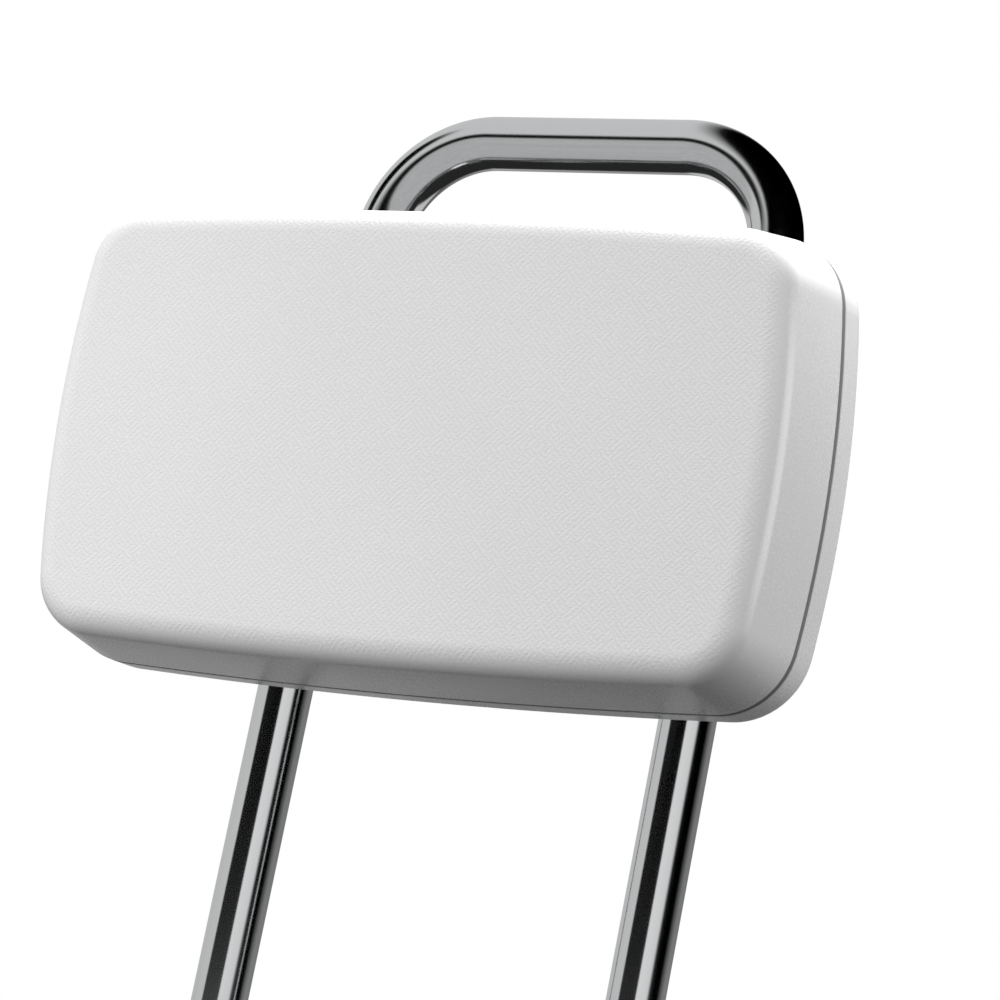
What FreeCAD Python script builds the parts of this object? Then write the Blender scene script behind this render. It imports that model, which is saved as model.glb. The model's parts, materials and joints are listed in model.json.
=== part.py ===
"""Security gate post: a white detector head tilted in front of a chrome inverted-U frame on a floor base.

Row frame: +X right, +Y to the back, +Z up, origin at the middle of the base plate's underside, millimetres.
Head frame: origin at the middle of the seam between the two shells, +Y to the back, tilted with the head.
"""
import FreeCAD, Part
import math
import os
from types import SimpleNamespace

import Sketcher
from FreeCAD import Placement, Rotation, Vector

SIZES = (
    # frame tube
    ("tube_diameter", 32.0, "outside diameter of the bent frame tube"),
    ("tube_wall", 1.5, "wall of the frame tube"),
    ("bend_radius", 66.0, "centre-line radius of the two top bends"),
    ("leg_spacing", 256.0, "between the leg axes"),
    ("leg_setback", 30.0, "leg axes behind the middle of the base plate"),
    ("frame_height", 1500.0, "floor to the top of the tube"),
    ("leg_entry_drop", 95.0, "cable hole of the right leg below the tilt pivot"),
    ("leg_entry_hole", 14.0, "diameter of the right leg's cable hole"),
    ("grommet_flange", 2.5, "grommet's lips beyond the hole"),
    ("grommet_lip", 2.0, "grommet's lips inside and outside the tube"),
    ("grommet_wall", 1.5, "rubber between the hole and the cable"),
    ("screw_clearance", 0.1, "radial clearance of a screw in a plain hole"),
    # base
    ("plate_rim", 35.0, "base plate beyond its cover, all round"),
    ("base_thickness", 8.0, "base plate"),
    ("base_corner", 24.0, "corner radius of the base plate"),
    ("base_chamfer", 1.5, "top edge of the base plate"),
    ("anchor_inset", 20.0, "anchor hole axis to the plate's edges"),
    ("anchor_hole", 12.0, "diameter of an anchor hole"),
    ("spigot_height", 90.0, "welded spigot above the base plate"),
    ("spigot_bore", 16.0, "cable way through plate and spigot"),
    ("spigot_clearance", 0.05, "radial clearance of a spigot in its leg"),
    ("spigot_chamfer", 2.0, "lead-in at the top of a spigot"),
    ("leg_screw", 5.0, "diameter of the leg screws"),
    ("leg_screw_height", 20.0, "leg screw above the base plate"),
    ("leg_screw_length", 8.0, "shank of a leg screw"),
    ("cover_side", 47.0, "leg axis to the cover's side"),
    ("cover_depth", 180.0, "base cover, front to back"),
    ("cover_height", 34.0, "base cover above the plate"),
    ("cover_wall", 3.0, "wall of the base cover"),
    ("cover_corner", 40.0, "corner radius of the base cover"),
    ("cover_edge", 12.0, "rounding of the base cover's top edge"),
    ("cover_screw", 4.0, "diameter of the cover screws"),
    ("cover_screw_inset", 30.0, "cover screw axis to the cover's front or back"),
    ("cover_screw_length", 12.0, "shank of a cover screw"),
    ("cover_post", 9.0, "hexagon post under a cover screw, across flats"),
    ("leg_clearance", 0.4, "radial gap between a leg and the cover"),
    ("collar_clearance", 0.2, "radial gap between a leg and its collar"),
    ("collar_width", 11.0, "ring width of a leg collar"),
    ("collar_height", 9.0, "leg collar above the cover"),
    ("collar_round", 6.0, "rounding of a collar's outer edge"),
    # head outline, at the seam
    ("head_width", 462.0, "head across its bowed sides"),
    ("head_height", 268.0, "head over its bowed top and bottom"),
    ("side_arc", 707.0, "radius of the bowed left and right sides"),
    ("top_arc", 4110.0, "radius of the bowed top and bottom"),
    ("head_corner", 43.0, "corner radius of the outline"),
    ("front_depth", 58.0, "seam plane to the front face"),
    ("front_draft", 9.5, "how far the outline draws in at the front face"),
    ("front_edge", 16.0, "rounding of the front face's edge"),
    ("band_depth", 23.0, "seam plane to the crease of the rear shell"),
    ("rear_depth", 48.0, "seam plane to the rear face"),
    ("rear_inset", 20.0, "how far the outline draws in at the rear face"),
    ("crease_round", 12.0, "rounding of the rear shell's crease"),
    ("rear_edge", 6.0, "rounding of the rear face's edge"),
    ("shell_wall", 3.0, "wall of both shells"),
    ("seam_gap", 4.0, "gap between the shells, filled by the gasket"),
    ("seam_edge", 0.8, "rounding of the shells' outer edges at the seam"),
    ("gasket_recess", 1.2, "gasket below the outline"),
    ("gasket_depth", 2.3, "gasket strip, outside to inside"),
    # shell fastening
    ("boss_radius", 5.5, "screw bosses of the shells"),
    ("boss_inset_x", 46.0, "corner boss axis to the head's side"),
    ("boss_inset_z", 42.0, "corner boss axis to the head's top or bottom"),
    ("middle_boss_inset", 35.0, "middle boss axis to the head's top or bottom"),
    ("boss_floor", 8.0, "seam plane to the seat of a shell screw's head"),
    ("sink_wall", 1.5, "boss wall around a sunk screw head"),
    ("pilot_depth", 22.0, "blind pilot hole in a front boss"),
    ("shell_screw", 4.0, "diameter of the shell screws"),
    ("shell_screw_length", 24.0, "shank of a shell screw"),
    # tilt joint
    ("head_tilt", 5.6, "degrees that the head looks down"),
    ("pivot_drop", 219.0, "top tube axis down to the tilt pivot"),
    ("pivot_lift", 18.0, "tilt pivot behind the head's rear face"),
    ("pivot_bolt", 8.0, "diameter of the pivot bolts"),
    ("pivot_clearance", 0.05, "radial running clearance of a pivot bolt"),
    ("ear_wall", 5.0, "material of an ear around its bolt"),
    ("ear_clearance", 2.0, "head ear's end to the tilt bracket's sheet"),
    ("ear_inset", 62.0, "leg axis to the inner face of a head ear"),
    ("ear_gap", 0.1, "free gap beside each frame ear"),
    ("sheet_steel", 3.0, "thickness of the bracket sheets"),
    ("sheet_corner", 6.0, "corner radius of the bracket sheets"),
    ("washer_thickness", 1.0, "friction washer"),
    ("washer_rim", 0.5, "ear's edge to the friction washer's edge"),
    # clamps
    ("clamp_bolt", 6.0, "diameter of the clamp bolts"),
    ("clamp_bolt_gap", 4.0, "tube to a clamp bolt"),
    ("clamp_edge", 8.0, "clamp bolt axis to the clamp's side"),
    ("clamp_height", 36.0, "clamp half, up and down"),
    ("clamp_web", 4.0, "clamp wall over the tube"),
    ("clamp_gap", 2.0, "gap between the two halves of a clamp"),
    ("clamp_round", 5.0, "rounding of the clamp's outer edges"),
    # head bracket
    ("bracket_width", 160.0, "foot of the head bracket, left to right"),
    ("bracket_height", 70.0, "foot of the head bracket, up and down"),
    ("bracket_inset_x", 32.0, "bracket screw axis to the foot's side"),
    ("bracket_inset_z", 11.0, "bracket screw axis to the foot's top or bottom"),
    ("bracket_screw", 5.0, "diameter of the bracket screws"),
    # inside the head
    ("chassis_margin_x", 81.0, "head's side to the chassis plate"),
    ("chassis_margin_z", 54.0, "head's top or bottom to the chassis plate"),
    ("chassis_sheet", 2.0, "chassis plate thickness"),
    ("chassis_corner", 10.0, "corner radius of the chassis plate"),
    ("board_width", 200.0, "circuit board, left to right"),
    ("board_height", 120.0, "circuit board, up and down"),
    ("board_sheet", 1.6, "circuit board thickness"),
    ("board_corner", 3.0, "corner radius of the circuit board"),
    ("board_standoff", 11.0, "board to chassis plate"),
    ("standoff_across", 7.0, "hexagon standoff, across flats"),
    ("board_hole_inset", 8.0, "standoff axis from the board's edges"),
    ("board_screw", 3.0, "diameter of the board screws"),
    ("board_screw_length", 8.0, "shank of a board screw"),
    ("coil_margin_x", 46.0, "head's side to the coil former"),
    ("coil_margin_z", 44.0, "head's top or bottom to the coil former"),
    ("coil_depth", 14.0, "coil former, front to back"),
    ("coil_ring", 16.0, "coil former's ring width"),
    ("coil_web", 6.0, "former under the winding"),
    ("coil_flange", 2.0, "former's two flanges"),
    ("coil_corner", 30.0, "outer corner radius of the former"),
    ("coil_rim", 1.5, "winding below the flanges' edge"),
    ("coil_gap", 9.0, "former to the inside of the front face"),
    ("coil_post_inset", 85.0, "coil post axis to the former's side"),
    ("post_floor", 1.0, "front wall to the end of a coil post's hole"),
    ("coil_screw", 3.0, "diameter of the coil screws"),
    ("coil_screw_bite", 6.0, "coil screw in its post"),
    # on the circuit board, places from its middle
    ("can_width", 58.0, "shield can, left to right"),
    ("can_height", 40.0, "shield can, up and down"),
    ("can_depth", 12.0, "shield can, off the board"),
    ("can_lip", 1.0, "shield can's lid, thickness and overhang"),
    ("can_x", -49.0, "shield can, to the left"),
    ("can_z", 28.0, "shield can, upwards"),
    ("core_width", 38.0, "transformer core, left to right"),
    ("core_height", 32.0, "transformer core, up and down"),
    ("core_depth", 26.0, "transformer core, off the board"),
    ("core_x", 55.0, "transformer, to the right"),
    ("core_z", 28.0, "transformer, upwards"),
    ("winding_diameter", 25.0, "transformer winding"),
    ("winding_overhang", 1.0, "winding beyond the core"),
    ("capacitor_diameter", 12.5, "capacitor can"),
    ("capacitor_height", 22.0, "capacitor can, off the board"),
    ("capacitor_pitch", 16.0, "between the capacitors"),
    ("capacitor_x", 46.0, "middle capacitor, to the right"),
    ("capacitor_z", -38.0, "capacitors, upwards"),
    ("sink_width", 62.0, "heat sink, left to right"),
    ("sink_height", 24.0, "heat sink, up and down"),
    ("sink_plate", 3.0, "heat sink's plate"),
    ("sink_x", -35.0, "heat sink, to the right"),
    ("sink_z", -36.0, "heat sink, upwards"),
    ("fin_depth", 15.0, "heat sink fin, off its plate"),
    ("fin_thickness", 2.0, "heat sink fin"),
    ("terminal_pitch", 5.0, "between the terminals"),
    ("terminal_height", 9.0, "terminal block, up and down"),
    ("terminal_depth", 11.0, "terminal block, off the board"),
    ("terminal_hole", 3.2, "screw hole of a terminal"),
    ("terminal_floor", 2.0, "under a terminal's hole"),
    ("terminal_x", 76.0, "terminal block, to the right"),
    ("terminal_z", -9.5, "terminal block, upwards"),
    ("trimmer_width", 10.0, "trimmer body, both ways"),
    ("trimmer_depth", 6.0, "trimmer body, off the board"),
    ("trimmer_z", -18.0, "trimmer, upwards"),
    ("rotor_diameter", 7.1, "trimmer rotor"),
    ("rotor_length", 4.0, "trimmer rotor"),
    ("rotor_clearance", 0.05, "running clearance of the rotor, all round"),
    ("rotor_slot", 1.0, "screwdriver slot, width and depth"),
    # sounder and cable gland
    ("sounder_x", -118.0, "sounder, to the right of the middle"),
    ("sounder_diameter", 34.0, "sounder case"),
    ("sounder_height", 12.0, "sounder case depth"),
    ("sounder_rim", 3.0, "wall of the sounder's mouth"),
    ("sounder_mouth", 4.0, "depth of the sounder's mouth"),
    ("sounder_access", 1.0, "chassis plate to the sounder, all round"),
    ("grille_hole", 3.2, "sound hole in the rear shell"),
    ("grille_inset", 6.0, "ring of sound holes inside the sounder's edge"),
    ("gland_drop", 75.0, "cable gland below the head's middle"),
    ("gland_bore", 8.0, "cable way of the gland"),
    ("gland_thread", 16.0, "diameter of the gland's thread"),
    ("gland_across", 22.0, "gland's and lock nut's hexagons, across flats"),
    ("gland_collar", 6.0, "gland's hexagon, outside the shell"),
    ("gland_dome", 12.0, "gland's dome beyond its hexagon"),
    ("gland_dome_diameter", 19.0, "gland's dome"),
    ("gland_round", 3.5, "rounding of the dome"),
    ("gland_stem", 9.0, "gland's thread inside the shell"),
    ("gland_nut_height", 5.0, "lock nut"),
    ("gland_access", 6.0, "chassis plate to the gland's thread, all round"),
)
CAPACITORS = 3
FINS = 7
TERMINALS = 4
GRILLE_HOLES = 8

# Proportions of standard screws and nuts, in thread diameters.
SOCKET_HEAD = SimpleNamespace(radius=0.75, height=1.0, edge=0.12, socket=0.75, depth=0.5)
BUTTON_HEAD = SimpleNamespace(radius=0.875, height=0.55, edge=0.33, socket=0.6, depth=0.3)
NUT = SimpleNamespace(height=0.8, across=1.65, edge=0.08)
THREAD_END = 0.2

# The least length or volume that counts, when edges are picked and features are confirmed.
TRACE = 0.01


class Size:
    """A length and the sheet formula that gives it, so that sums made here carry into setExpression."""

    def __init__(self, value, text=None):
        self.value = float(value)
        self.text = text or repr(self.value)

    @staticmethod
    def of(other):
        return other if isinstance(other, Size) else Size(other)

    def join(self, other, sign, value):
        return Size(value, f"({self.text} {sign} {Size.of(other).text})")

    def __add__(self, other):
        return self.join(other, "+", self.value + float(other))

    def __sub__(self, other):
        return self.join(other, "-", self.value - float(other))

    def __mul__(self, other):
        return self.join(other, "*", self.value * float(other))

    def __truediv__(self, other):
        return self.join(other, "/", self.value / float(other))

    def __neg__(self):
        return self * -1

    def __float__(self):
        return self.value


doc = FreeCAD.newDocument("SecurityGate")
sheet = doc.addObject("Spreadsheet::Sheet", "Sizes")
for row, (alias, value, note) in enumerate(SIZES, start=1):
    sheet.set(f"A{row}", note)
    sheet.set(f"B{row}", str(value))
    sheet.setAlias(f"B{row}", alias)
doc.recompute()
s = SimpleNamespace(**{alias: Size(sheet.get(alias), f"Sizes.{alias}") for alias, _, _ in SIZES})

# Places that several sub-parts share.
MIDDLE = Size(0)
tube_radius = s.tube_diameter / 2
tube_inside = tube_radius - s.tube_wall
half_spacing = s.leg_spacing / 2
top_axis = s.frame_height - tube_radius
cover_width = s.leg_spacing + s.cover_side * 2
base_width = cover_width + s.plate_rim * 2
base_depth = s.cover_depth + s.plate_rim * 2
cover_top = s.base_thickness + s.cover_height
cover_screw_y = s.cover_depth / 2 - s.cover_screw_inset
leg_screw_z = s.base_thickness + s.leg_screw_height
clamp_face = tube_radius + s.clamp_web
clamp_bolt_offset = tube_radius + s.clamp_bolt_gap + s.clamp_bolt / 2
clamp_width = (clamp_bolt_offset + s.clamp_edge) * 2
clamp_front = s.leg_setback - clamp_face
ear_radius = s.pivot_bolt / 2 + s.ear_wall
pivot_height = top_axis - s.pivot_drop
pivot_y = clamp_front - s.sheet_steel - ear_radius - s.ear_clearance
pivot_reach = s.rear_depth + s.pivot_lift
head_ear_x = half_spacing - s.ear_inset
washer_x = head_ear_x + s.sheet_steel
frame_ear_x = washer_x + s.washer_thickness + s.ear_gap
pivot_seat_x = frame_ear_x + s.sheet_steel + s.ear_gap
leg_entry_z = pivot_height - s.leg_entry_drop
rear_inside = s.rear_depth - s.shell_wall
chassis_front = rear_inside - s.chassis_sheet
chassis_width = s.head_width - s.chassis_margin_x * 2
chassis_height = s.head_height - s.chassis_margin_z * 2
board_front = chassis_front - s.board_standoff - s.board_sheet
coil_width = s.head_width - s.coil_margin_x * 2
coil_height = s.head_height - s.coil_margin_z * 2
coil_front = s.shell_wall + s.coil_gap - s.front_depth
coil_back = coil_front + s.coil_depth
well_radius = s.rotor_diameter / 2 + s.rotor_clearance

tilt = math.radians(float(s.head_tilt))
head_middle = Vector(
    0,
    float(pivot_y) - float(pivot_reach) * math.cos(tilt),
    float(pivot_height) - float(pivot_reach) * math.sin(tilt),
)
HEAD = Placement(head_middle, Rotation(Vector(1, 0, 0), float(s.head_tilt)))

LEFT_RIGHT = (("left", -1), ("right", 1))
CORNERS = ((-1, -1), (1, -1), (1, 1), (-1, 1))
PARTS = {}


def keep(body, placement=Placement()):
    """Registers a finished sub-part and puts it in its place."""
    body.Placement = placement
    PARTS[body.Label] = body


def four(x, y):
    """The four places at plus and minus x and y."""
    return [(x * right, y * up) for right, up in CORNERS]


# ---------------------------------------------------------------- sketches

# A plane's role in a body's origin, its sketch normal along the axis across it, and that axis.
PLANES = {"XY": ("XY_Plane", 1, "Z"), "XZ": ("XZ_Plane", -1, "Y"), "YZ": ("YZ_Plane", 1, "X")}


def new_body(name):
    """A body that may hold several solids, such as a set of equal screws."""
    body = doc.addObject("PartDesign::Body", name)
    body.Label = name
    body.AllowCompound = True
    return body


def new_sketch(body, plane, place=0):
    """A sketch on one of the body's origin planes, moved along the axis across it to this place."""
    role, normal, _ = PLANES[plane]
    sketch = body.newObject("Sketcher::SketchObject", "Sketch")
    support = next(f for f in body.Origin.OriginFeatures if f.Role == role)
    sketch.AttachmentSupport = [(support, "")]
    sketch.MapMode = "FlatFace"
    sketch.setExpression("AttachmentOffset.Base.z", (Size.of(place) * normal).text)
    return sketch


def dimension(sketch, kind, *where):
    """Adds a driving dimension whose last argument is its Size."""
    *place, length = where
    length = Size.of(length)
    index = sketch.addConstraint(Sketcher.Constraint(kind, *place, float(length)))
    sketch.setExpression(f"Constraints[{index}]", length.text)


def locate(sketch, index, point, x, y):
    """Places a sketch point at x, y from the origin; a zero puts it on the axis."""
    for kind, axis, distance in (("DistanceX", -2, Size.of(x)), ("DistanceY", -1, Size.of(y))):
        if float(distance) == 0:
            sketch.addConstraint(Sketcher.Constraint("PointOnObject", index, point, axis))
        elif float(distance) > 0:
            dimension(sketch, kind, -1, 1, index, point, distance)
        else:
            dimension(sketch, kind, index, point, -1, 1, -distance)


def circle(sketch, x, y, radius):
    x, y, radius = Size.of(x), Size.of(y), Size.of(radius)
    centre = Vector(float(x), float(y), 0)
    index = sketch.addGeometry(Part.Circle(centre, Vector(0, 0, 1), float(radius)))
    dimension(sketch, "Radius", index, radius)
    locate(sketch, index, 3, x, y)


def closed_lines(sketch, corners):
    """Lines from corner to corner and back, joined end to end. Returns the first line's index."""
    first = sketch.GeometryCount
    count = len(corners)
    for k in range(count):
        sketch.addGeometry(Part.LineSegment(corners[k], corners[(k + 1) % count]))
    for k in range(count):
        sketch.addConstraint(Sketcher.Constraint("Coincident", first + k, 2, first + (k + 1) % count, 1))
    return first


def rectangle(sketch, width, height, x=0, y=0):
    """A rectangle with its middle at x, y."""
    width, height, x, y = (Size.of(v) for v in (width, height, x, y))
    middle, half = Vector(float(x), float(y), 0), Vector(float(width) / 2, float(height) / 2, 0)
    first = closed_lines(sketch, [middle + Vector(half.x * a, half.y * b, 0) for a, b in CORNERS])
    for k, level in enumerate(("Horizontal", "Vertical", "Horizontal", "Vertical")):
        sketch.addConstraint(Sketcher.Constraint(level, first + k))
    locate(sketch, first, 1, x - width / 2, y - height / 2)
    dimension(sketch, "DistanceX", first, 1, first, 2, width)
    dimension(sketch, "DistanceY", first + 1, 1, first + 1, 2, height)


def hexagon(sketch, x, y, across):
    """A hexagon about x, y with two level sides, inscribed in a construction circle."""
    x, y, across = Size.of(x), Size.of(y), Size.of(across)
    centre, reach = Vector(float(x), float(y), 0), across / math.sqrt(3)
    angles = [k * math.pi / 3 for k in range(6)]
    corners = [centre + Vector(math.cos(a), math.sin(a), 0) * float(reach) for a in angles]
    first = closed_lines(sketch, corners)
    ring = sketch.addGeometry(Part.Circle(centre, Vector(0, 0, 1), float(reach)), True)
    for k in range(6):
        sketch.addConstraint(Sketcher.Constraint("PointOnObject", first + k, 1, ring))
    for k in range(1, 6):
        sketch.addConstraint(Sketcher.Constraint("Equal", first, first + k))
    sketch.addConstraint(Sketcher.Constraint("Horizontal", first + 1))
    dimension(sketch, "Radius", ring, reach)
    locate(sketch, ring, 3, x, y)


def rounded(sketch, width, height, radius, x=0, y=0):
    """A rectangle with its middle at x, y and its corners rounded."""
    width, height, radius, x, y = (Size.of(v) for v in (width, height, radius, x, y))
    reach_x, reach_y = width / 2 - radius, height / 2 - radius
    first = sketch.GeometryCount
    middle = Vector(float(x), float(y), 0)
    quarter = math.pi / 2
    for turn, (right, up) in enumerate(((1, 1), (-1, 1), (-1, -1), (1, -1))):
        centre = middle + Vector(float(reach_x) * right, float(reach_y) * up, 0)
        out = Vector(math.cos(turn * quarter), math.sin(turn * quarter), 0)
        span = float(reach_y if turn % 2 == 0 else reach_x) * 2
        end = centre + out * float(radius)
        sketch.addGeometry(Part.LineSegment(end - Vector(-out.y, out.x, 0) * span, end))
        corner = Part.Circle(centre, Vector(0, 0, 1), float(radius))
        sketch.addGeometry(Part.ArcOfCircle(corner, turn * quarter, (turn + 1) * quarter))
    for k in range(8):
        sketch.addConstraint(Sketcher.Constraint("Tangent", first + k, 2, first + (k + 1) % 8, 1))
    for k in range(0, 8, 2):
        sketch.addConstraint(Sketcher.Constraint("Vertical" if k % 4 == 0 else "Horizontal", first + k))
        dimension(sketch, "Radius", first + k + 1, radius)
    locate(sketch, first + 1, 3, x + reach_x, y + reach_y)
    locate(sketch, first + 5, 3, x - reach_x, y - reach_y)


def bowed_corner(side_centre, top_centre):
    """Centre of a corner arc: where circles about its two side arcs' centres cross.

    Each circle is a corner radius short of its side arc, so that the corner meets both sides in a tangent.
    """
    side_reach = float(s.side_arc - s.head_corner)
    top_reach = float(s.top_arc - s.head_corner)
    apart = math.hypot(side_centre, top_centre)
    along = (side_reach**2 - top_reach**2 + apart**2) / (2 * apart)
    off = math.sqrt(side_reach**2 - along**2)
    step = Vector(side_centre, -top_centre, 0) / apart
    return Vector(-side_centre, 0, 0) + step * along + Vector(-step.y, step.x, 0) * off


def bowed_outline(sketch, inset):
    """The head's outline drawn in by inset: four long side arcs and four corner arcs, all tangent.

    Every arc keeps its centre and gives up the inset from its radius.
    """
    side_centre, top_centre = s.side_arc - s.head_width / 2, s.top_arc - s.head_height / 2
    corner = bowed_corner(float(side_centre), float(top_centre))
    rise = math.atan2(corner.y, corner.x + float(side_centre))
    lean = math.atan2(corner.x, corner.y + float(top_centre))
    corner_radius, side_radius, top_radius = (r - inset for r in (s.head_corner, s.side_arc, s.top_arc))
    quarter = math.pi / 2
    spots = [Vector(corner.x * a, corner.y * b, 0) for a, b in ((1, 1), (-1, 1), (-1, -1), (1, -1))]
    sides = ((side_centre, rise, side_radius), (top_centre, lean, top_radius))
    for turn, spot in enumerate(spots):
        (reach, half, radius), (_, next_half, _) = sides[turn % 2], sides[1 - turn % 2]
        out = Vector(math.cos(turn * quarter), math.sin(turn * quarter), 0)
        side = Part.Circle(out * -float(reach), Vector(0, 0, 1), float(radius))
        middle = turn * quarter
        sketch.addGeometry(Part.ArcOfCircle(side, middle - half, middle + half))
        turned = Part.Circle(spot, Vector(0, 0, 1), float(corner_radius))
        sketch.addGeometry(Part.ArcOfCircle(turned, middle + half, middle + quarter - next_half))
    for k in range(8):
        sketch.addConstraint(Sketcher.Constraint("Tangent", k, 2, (k + 1) % 8, 1))
    for k in range(0, 8, 2):
        upright_side = k % 4 == 0
        axis, kind, reach = (-1, "DistanceX", side_centre) if upright_side else (-2, "DistanceY", top_centre)
        sketch.addConstraint(Sketcher.Constraint("PointOnObject", k, 3, axis))
        dimension(sketch, "Radius", k, side_radius if upright_side else top_radius)
        dimension(sketch, "Radius", k + 1, corner_radius)
        ends = (k, 3, -1, 1) if k < 4 else (-1, 1, k, 3)
        dimension(sketch, kind, *ends, reach)


def outline_sketch(body, depth, inset):
    """The head's outline on the plane at this depth behind the seam."""
    sketch = new_sketch(body, "XZ", depth)
    bowed_outline(sketch, Size.of(inset))
    return sketch


# ---------------------------------------------------------------- features


def volume(body):
    doc.recompute()
    return body.Shape.Volume if body.Shape.Solids else 0.0


def confirm(body, before, way):
    """Refuses a last feature that didn't add material (way 1) or remove it (way -1)."""
    if (volume(body) - before) * way < TRACE:
        raise RuntimeError(f"{body.Label}: the last feature changed nothing")


def extrude(body, kind, sketch, length, way):
    """A Pad or Pocket from the sketch towards plus or minus the axis across its plane."""
    before = volume(body)
    normal = next(n for role, n, _ in PLANES.values() if role == sketch.AttachmentSupport[0][0].Role)
    made = body.newObject(f"PartDesign::{kind}", kind)
    made.Profile = sketch
    made.setExpression("Length", Size.of(length).text)
    made.Reversed = way * normal * (1 if kind == "Pad" else -1) < 0
    confirm(body, before, 1 if kind == "Pad" else -1)


def pad(body, sketch, length, way=1):
    extrude(body, "Pad", sketch, length, way)


def pocket(body, sketch, length, way=1):
    extrude(body, "Pocket", sketch, length, way)


def soften(body, test, radius, kind="Fillet"):
    """Rounds or chamfers the edges of the body's last feature that pass the test."""
    doc.recompute()
    base = body.Tip
    names = [f"Edge{k}" for k, edge in enumerate(base.Shape.Edges, start=1) if test(edge)]
    if not names:
        raise RuntimeError(f"{body.Label}: no edge to round")
    made = body.newObject(f"PartDesign::{kind}", kind)
    made.Base = (base, names)
    made.setExpression("Radius" if kind == "Fillet" else "Size", Size.of(radius).text)
    return made


def at_level(plane, place, reach=None):
    """Test for edges that lie in the plane at this place; with reach, only those whose middle passes it."""
    axis = PLANES[plane][2]

    def test(edge):
        box = edge.BoundBox
        low, high = getattr(box, f"{axis}Min"), getattr(box, f"{axis}Max")
        flat = max(abs(low - float(place)), abs(high - float(place))) < TRACE
        point = edge.valueAt((edge.FirstParameter + edge.LastParameter) / 2)
        return flat and (reach is None or reach(point))

    return test


def subtract(body, tool):
    """Cuts the whole of another body from this one."""
    before = volume(body)
    made = body.newObject("PartDesign::Boolean", "Boolean")
    made.Type = "Cut"
    made.setObjects([tool])
    confirm(body, before, -1)


# ---------------------------------------------------------------- repeated small pieces


def drill(body, plane, place, spots, radius, depth, way=1):
    """Equal round holes."""
    sketch = new_sketch(body, plane, place)
    for x, y in spots:
        circle(sketch, x, y, radius)
    pocket(body, sketch, depth, way)


def pegs(body, plane, place, spots, radius, length, way=1):
    """Equal round pegs."""
    sketch = new_sketch(body, plane, place)
    for x, y in spots:
        circle(sketch, x, y, radius)
    pad(body, sketch, length, way)


def rings(body, plane, place, spots, inside, outside, length, way=1):
    """Equal round rings."""
    sketch = new_sketch(body, plane, place)
    for x, y in spots:
        circle(sketch, x, y, inside)
        circle(sketch, x, y, outside)
    pad(body, sketch, length, way)


def hexagons(body, plane, place, spots, inside, across, length, way=1):
    """Equal hexagonal rings, such as nuts and standoffs."""
    sketch = new_sketch(body, plane, place)
    for x, y in spots:
        circle(sketch, x, y, inside)
        hexagon(sketch, x, y, across)
    pad(body, sketch, length, way)


def screws(body, plane, seat, spots, diameter, length, way, head=SOCKET_HEAD):
    """Equal socket screws whose heads stand on the seat and point along way, with their shanks behind."""
    top = seat + diameter * head.height * way
    pegs(body, plane, seat, spots, diameter * head.radius, diameter * head.height, way)
    soften(body, at_level(plane, top), diameter * head.edge)
    sockets = new_sketch(body, plane, top)
    for x, y in spots:
        hexagon(sockets, x, y, diameter * head.socket)
    pocket(body, sockets, diameter * head.depth, -way)
    pegs(body, plane, seat, spots, diameter / 2, length, -way)


def nuts(body, plane, seat, spots, diameter, way):
    """Equal nuts that stand on the seat and point along way."""
    height = diameter * NUT.height
    top = at_level(plane, seat + height * way)
    hexagons(body, plane, seat, spots, diameter / 2, diameter * NUT.across, height, way)
    soften(body, lambda e: top(e) and e.Curve.TypeId == "Part::GeomLine", diameter * NUT.edge, "Chamfer")


def through(grip, diameter):
    """Shank length of a bolt through this grip and its nut."""
    return grip + diameter * (NUT.height + THREAD_END)


# ---------------------------------------------------------------- frame


def leg_places():
    """The leg axes, seen from above."""
    return [(half_spacing * sign, s.leg_setback) for _, sign in LEFT_RIGHT]


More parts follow.
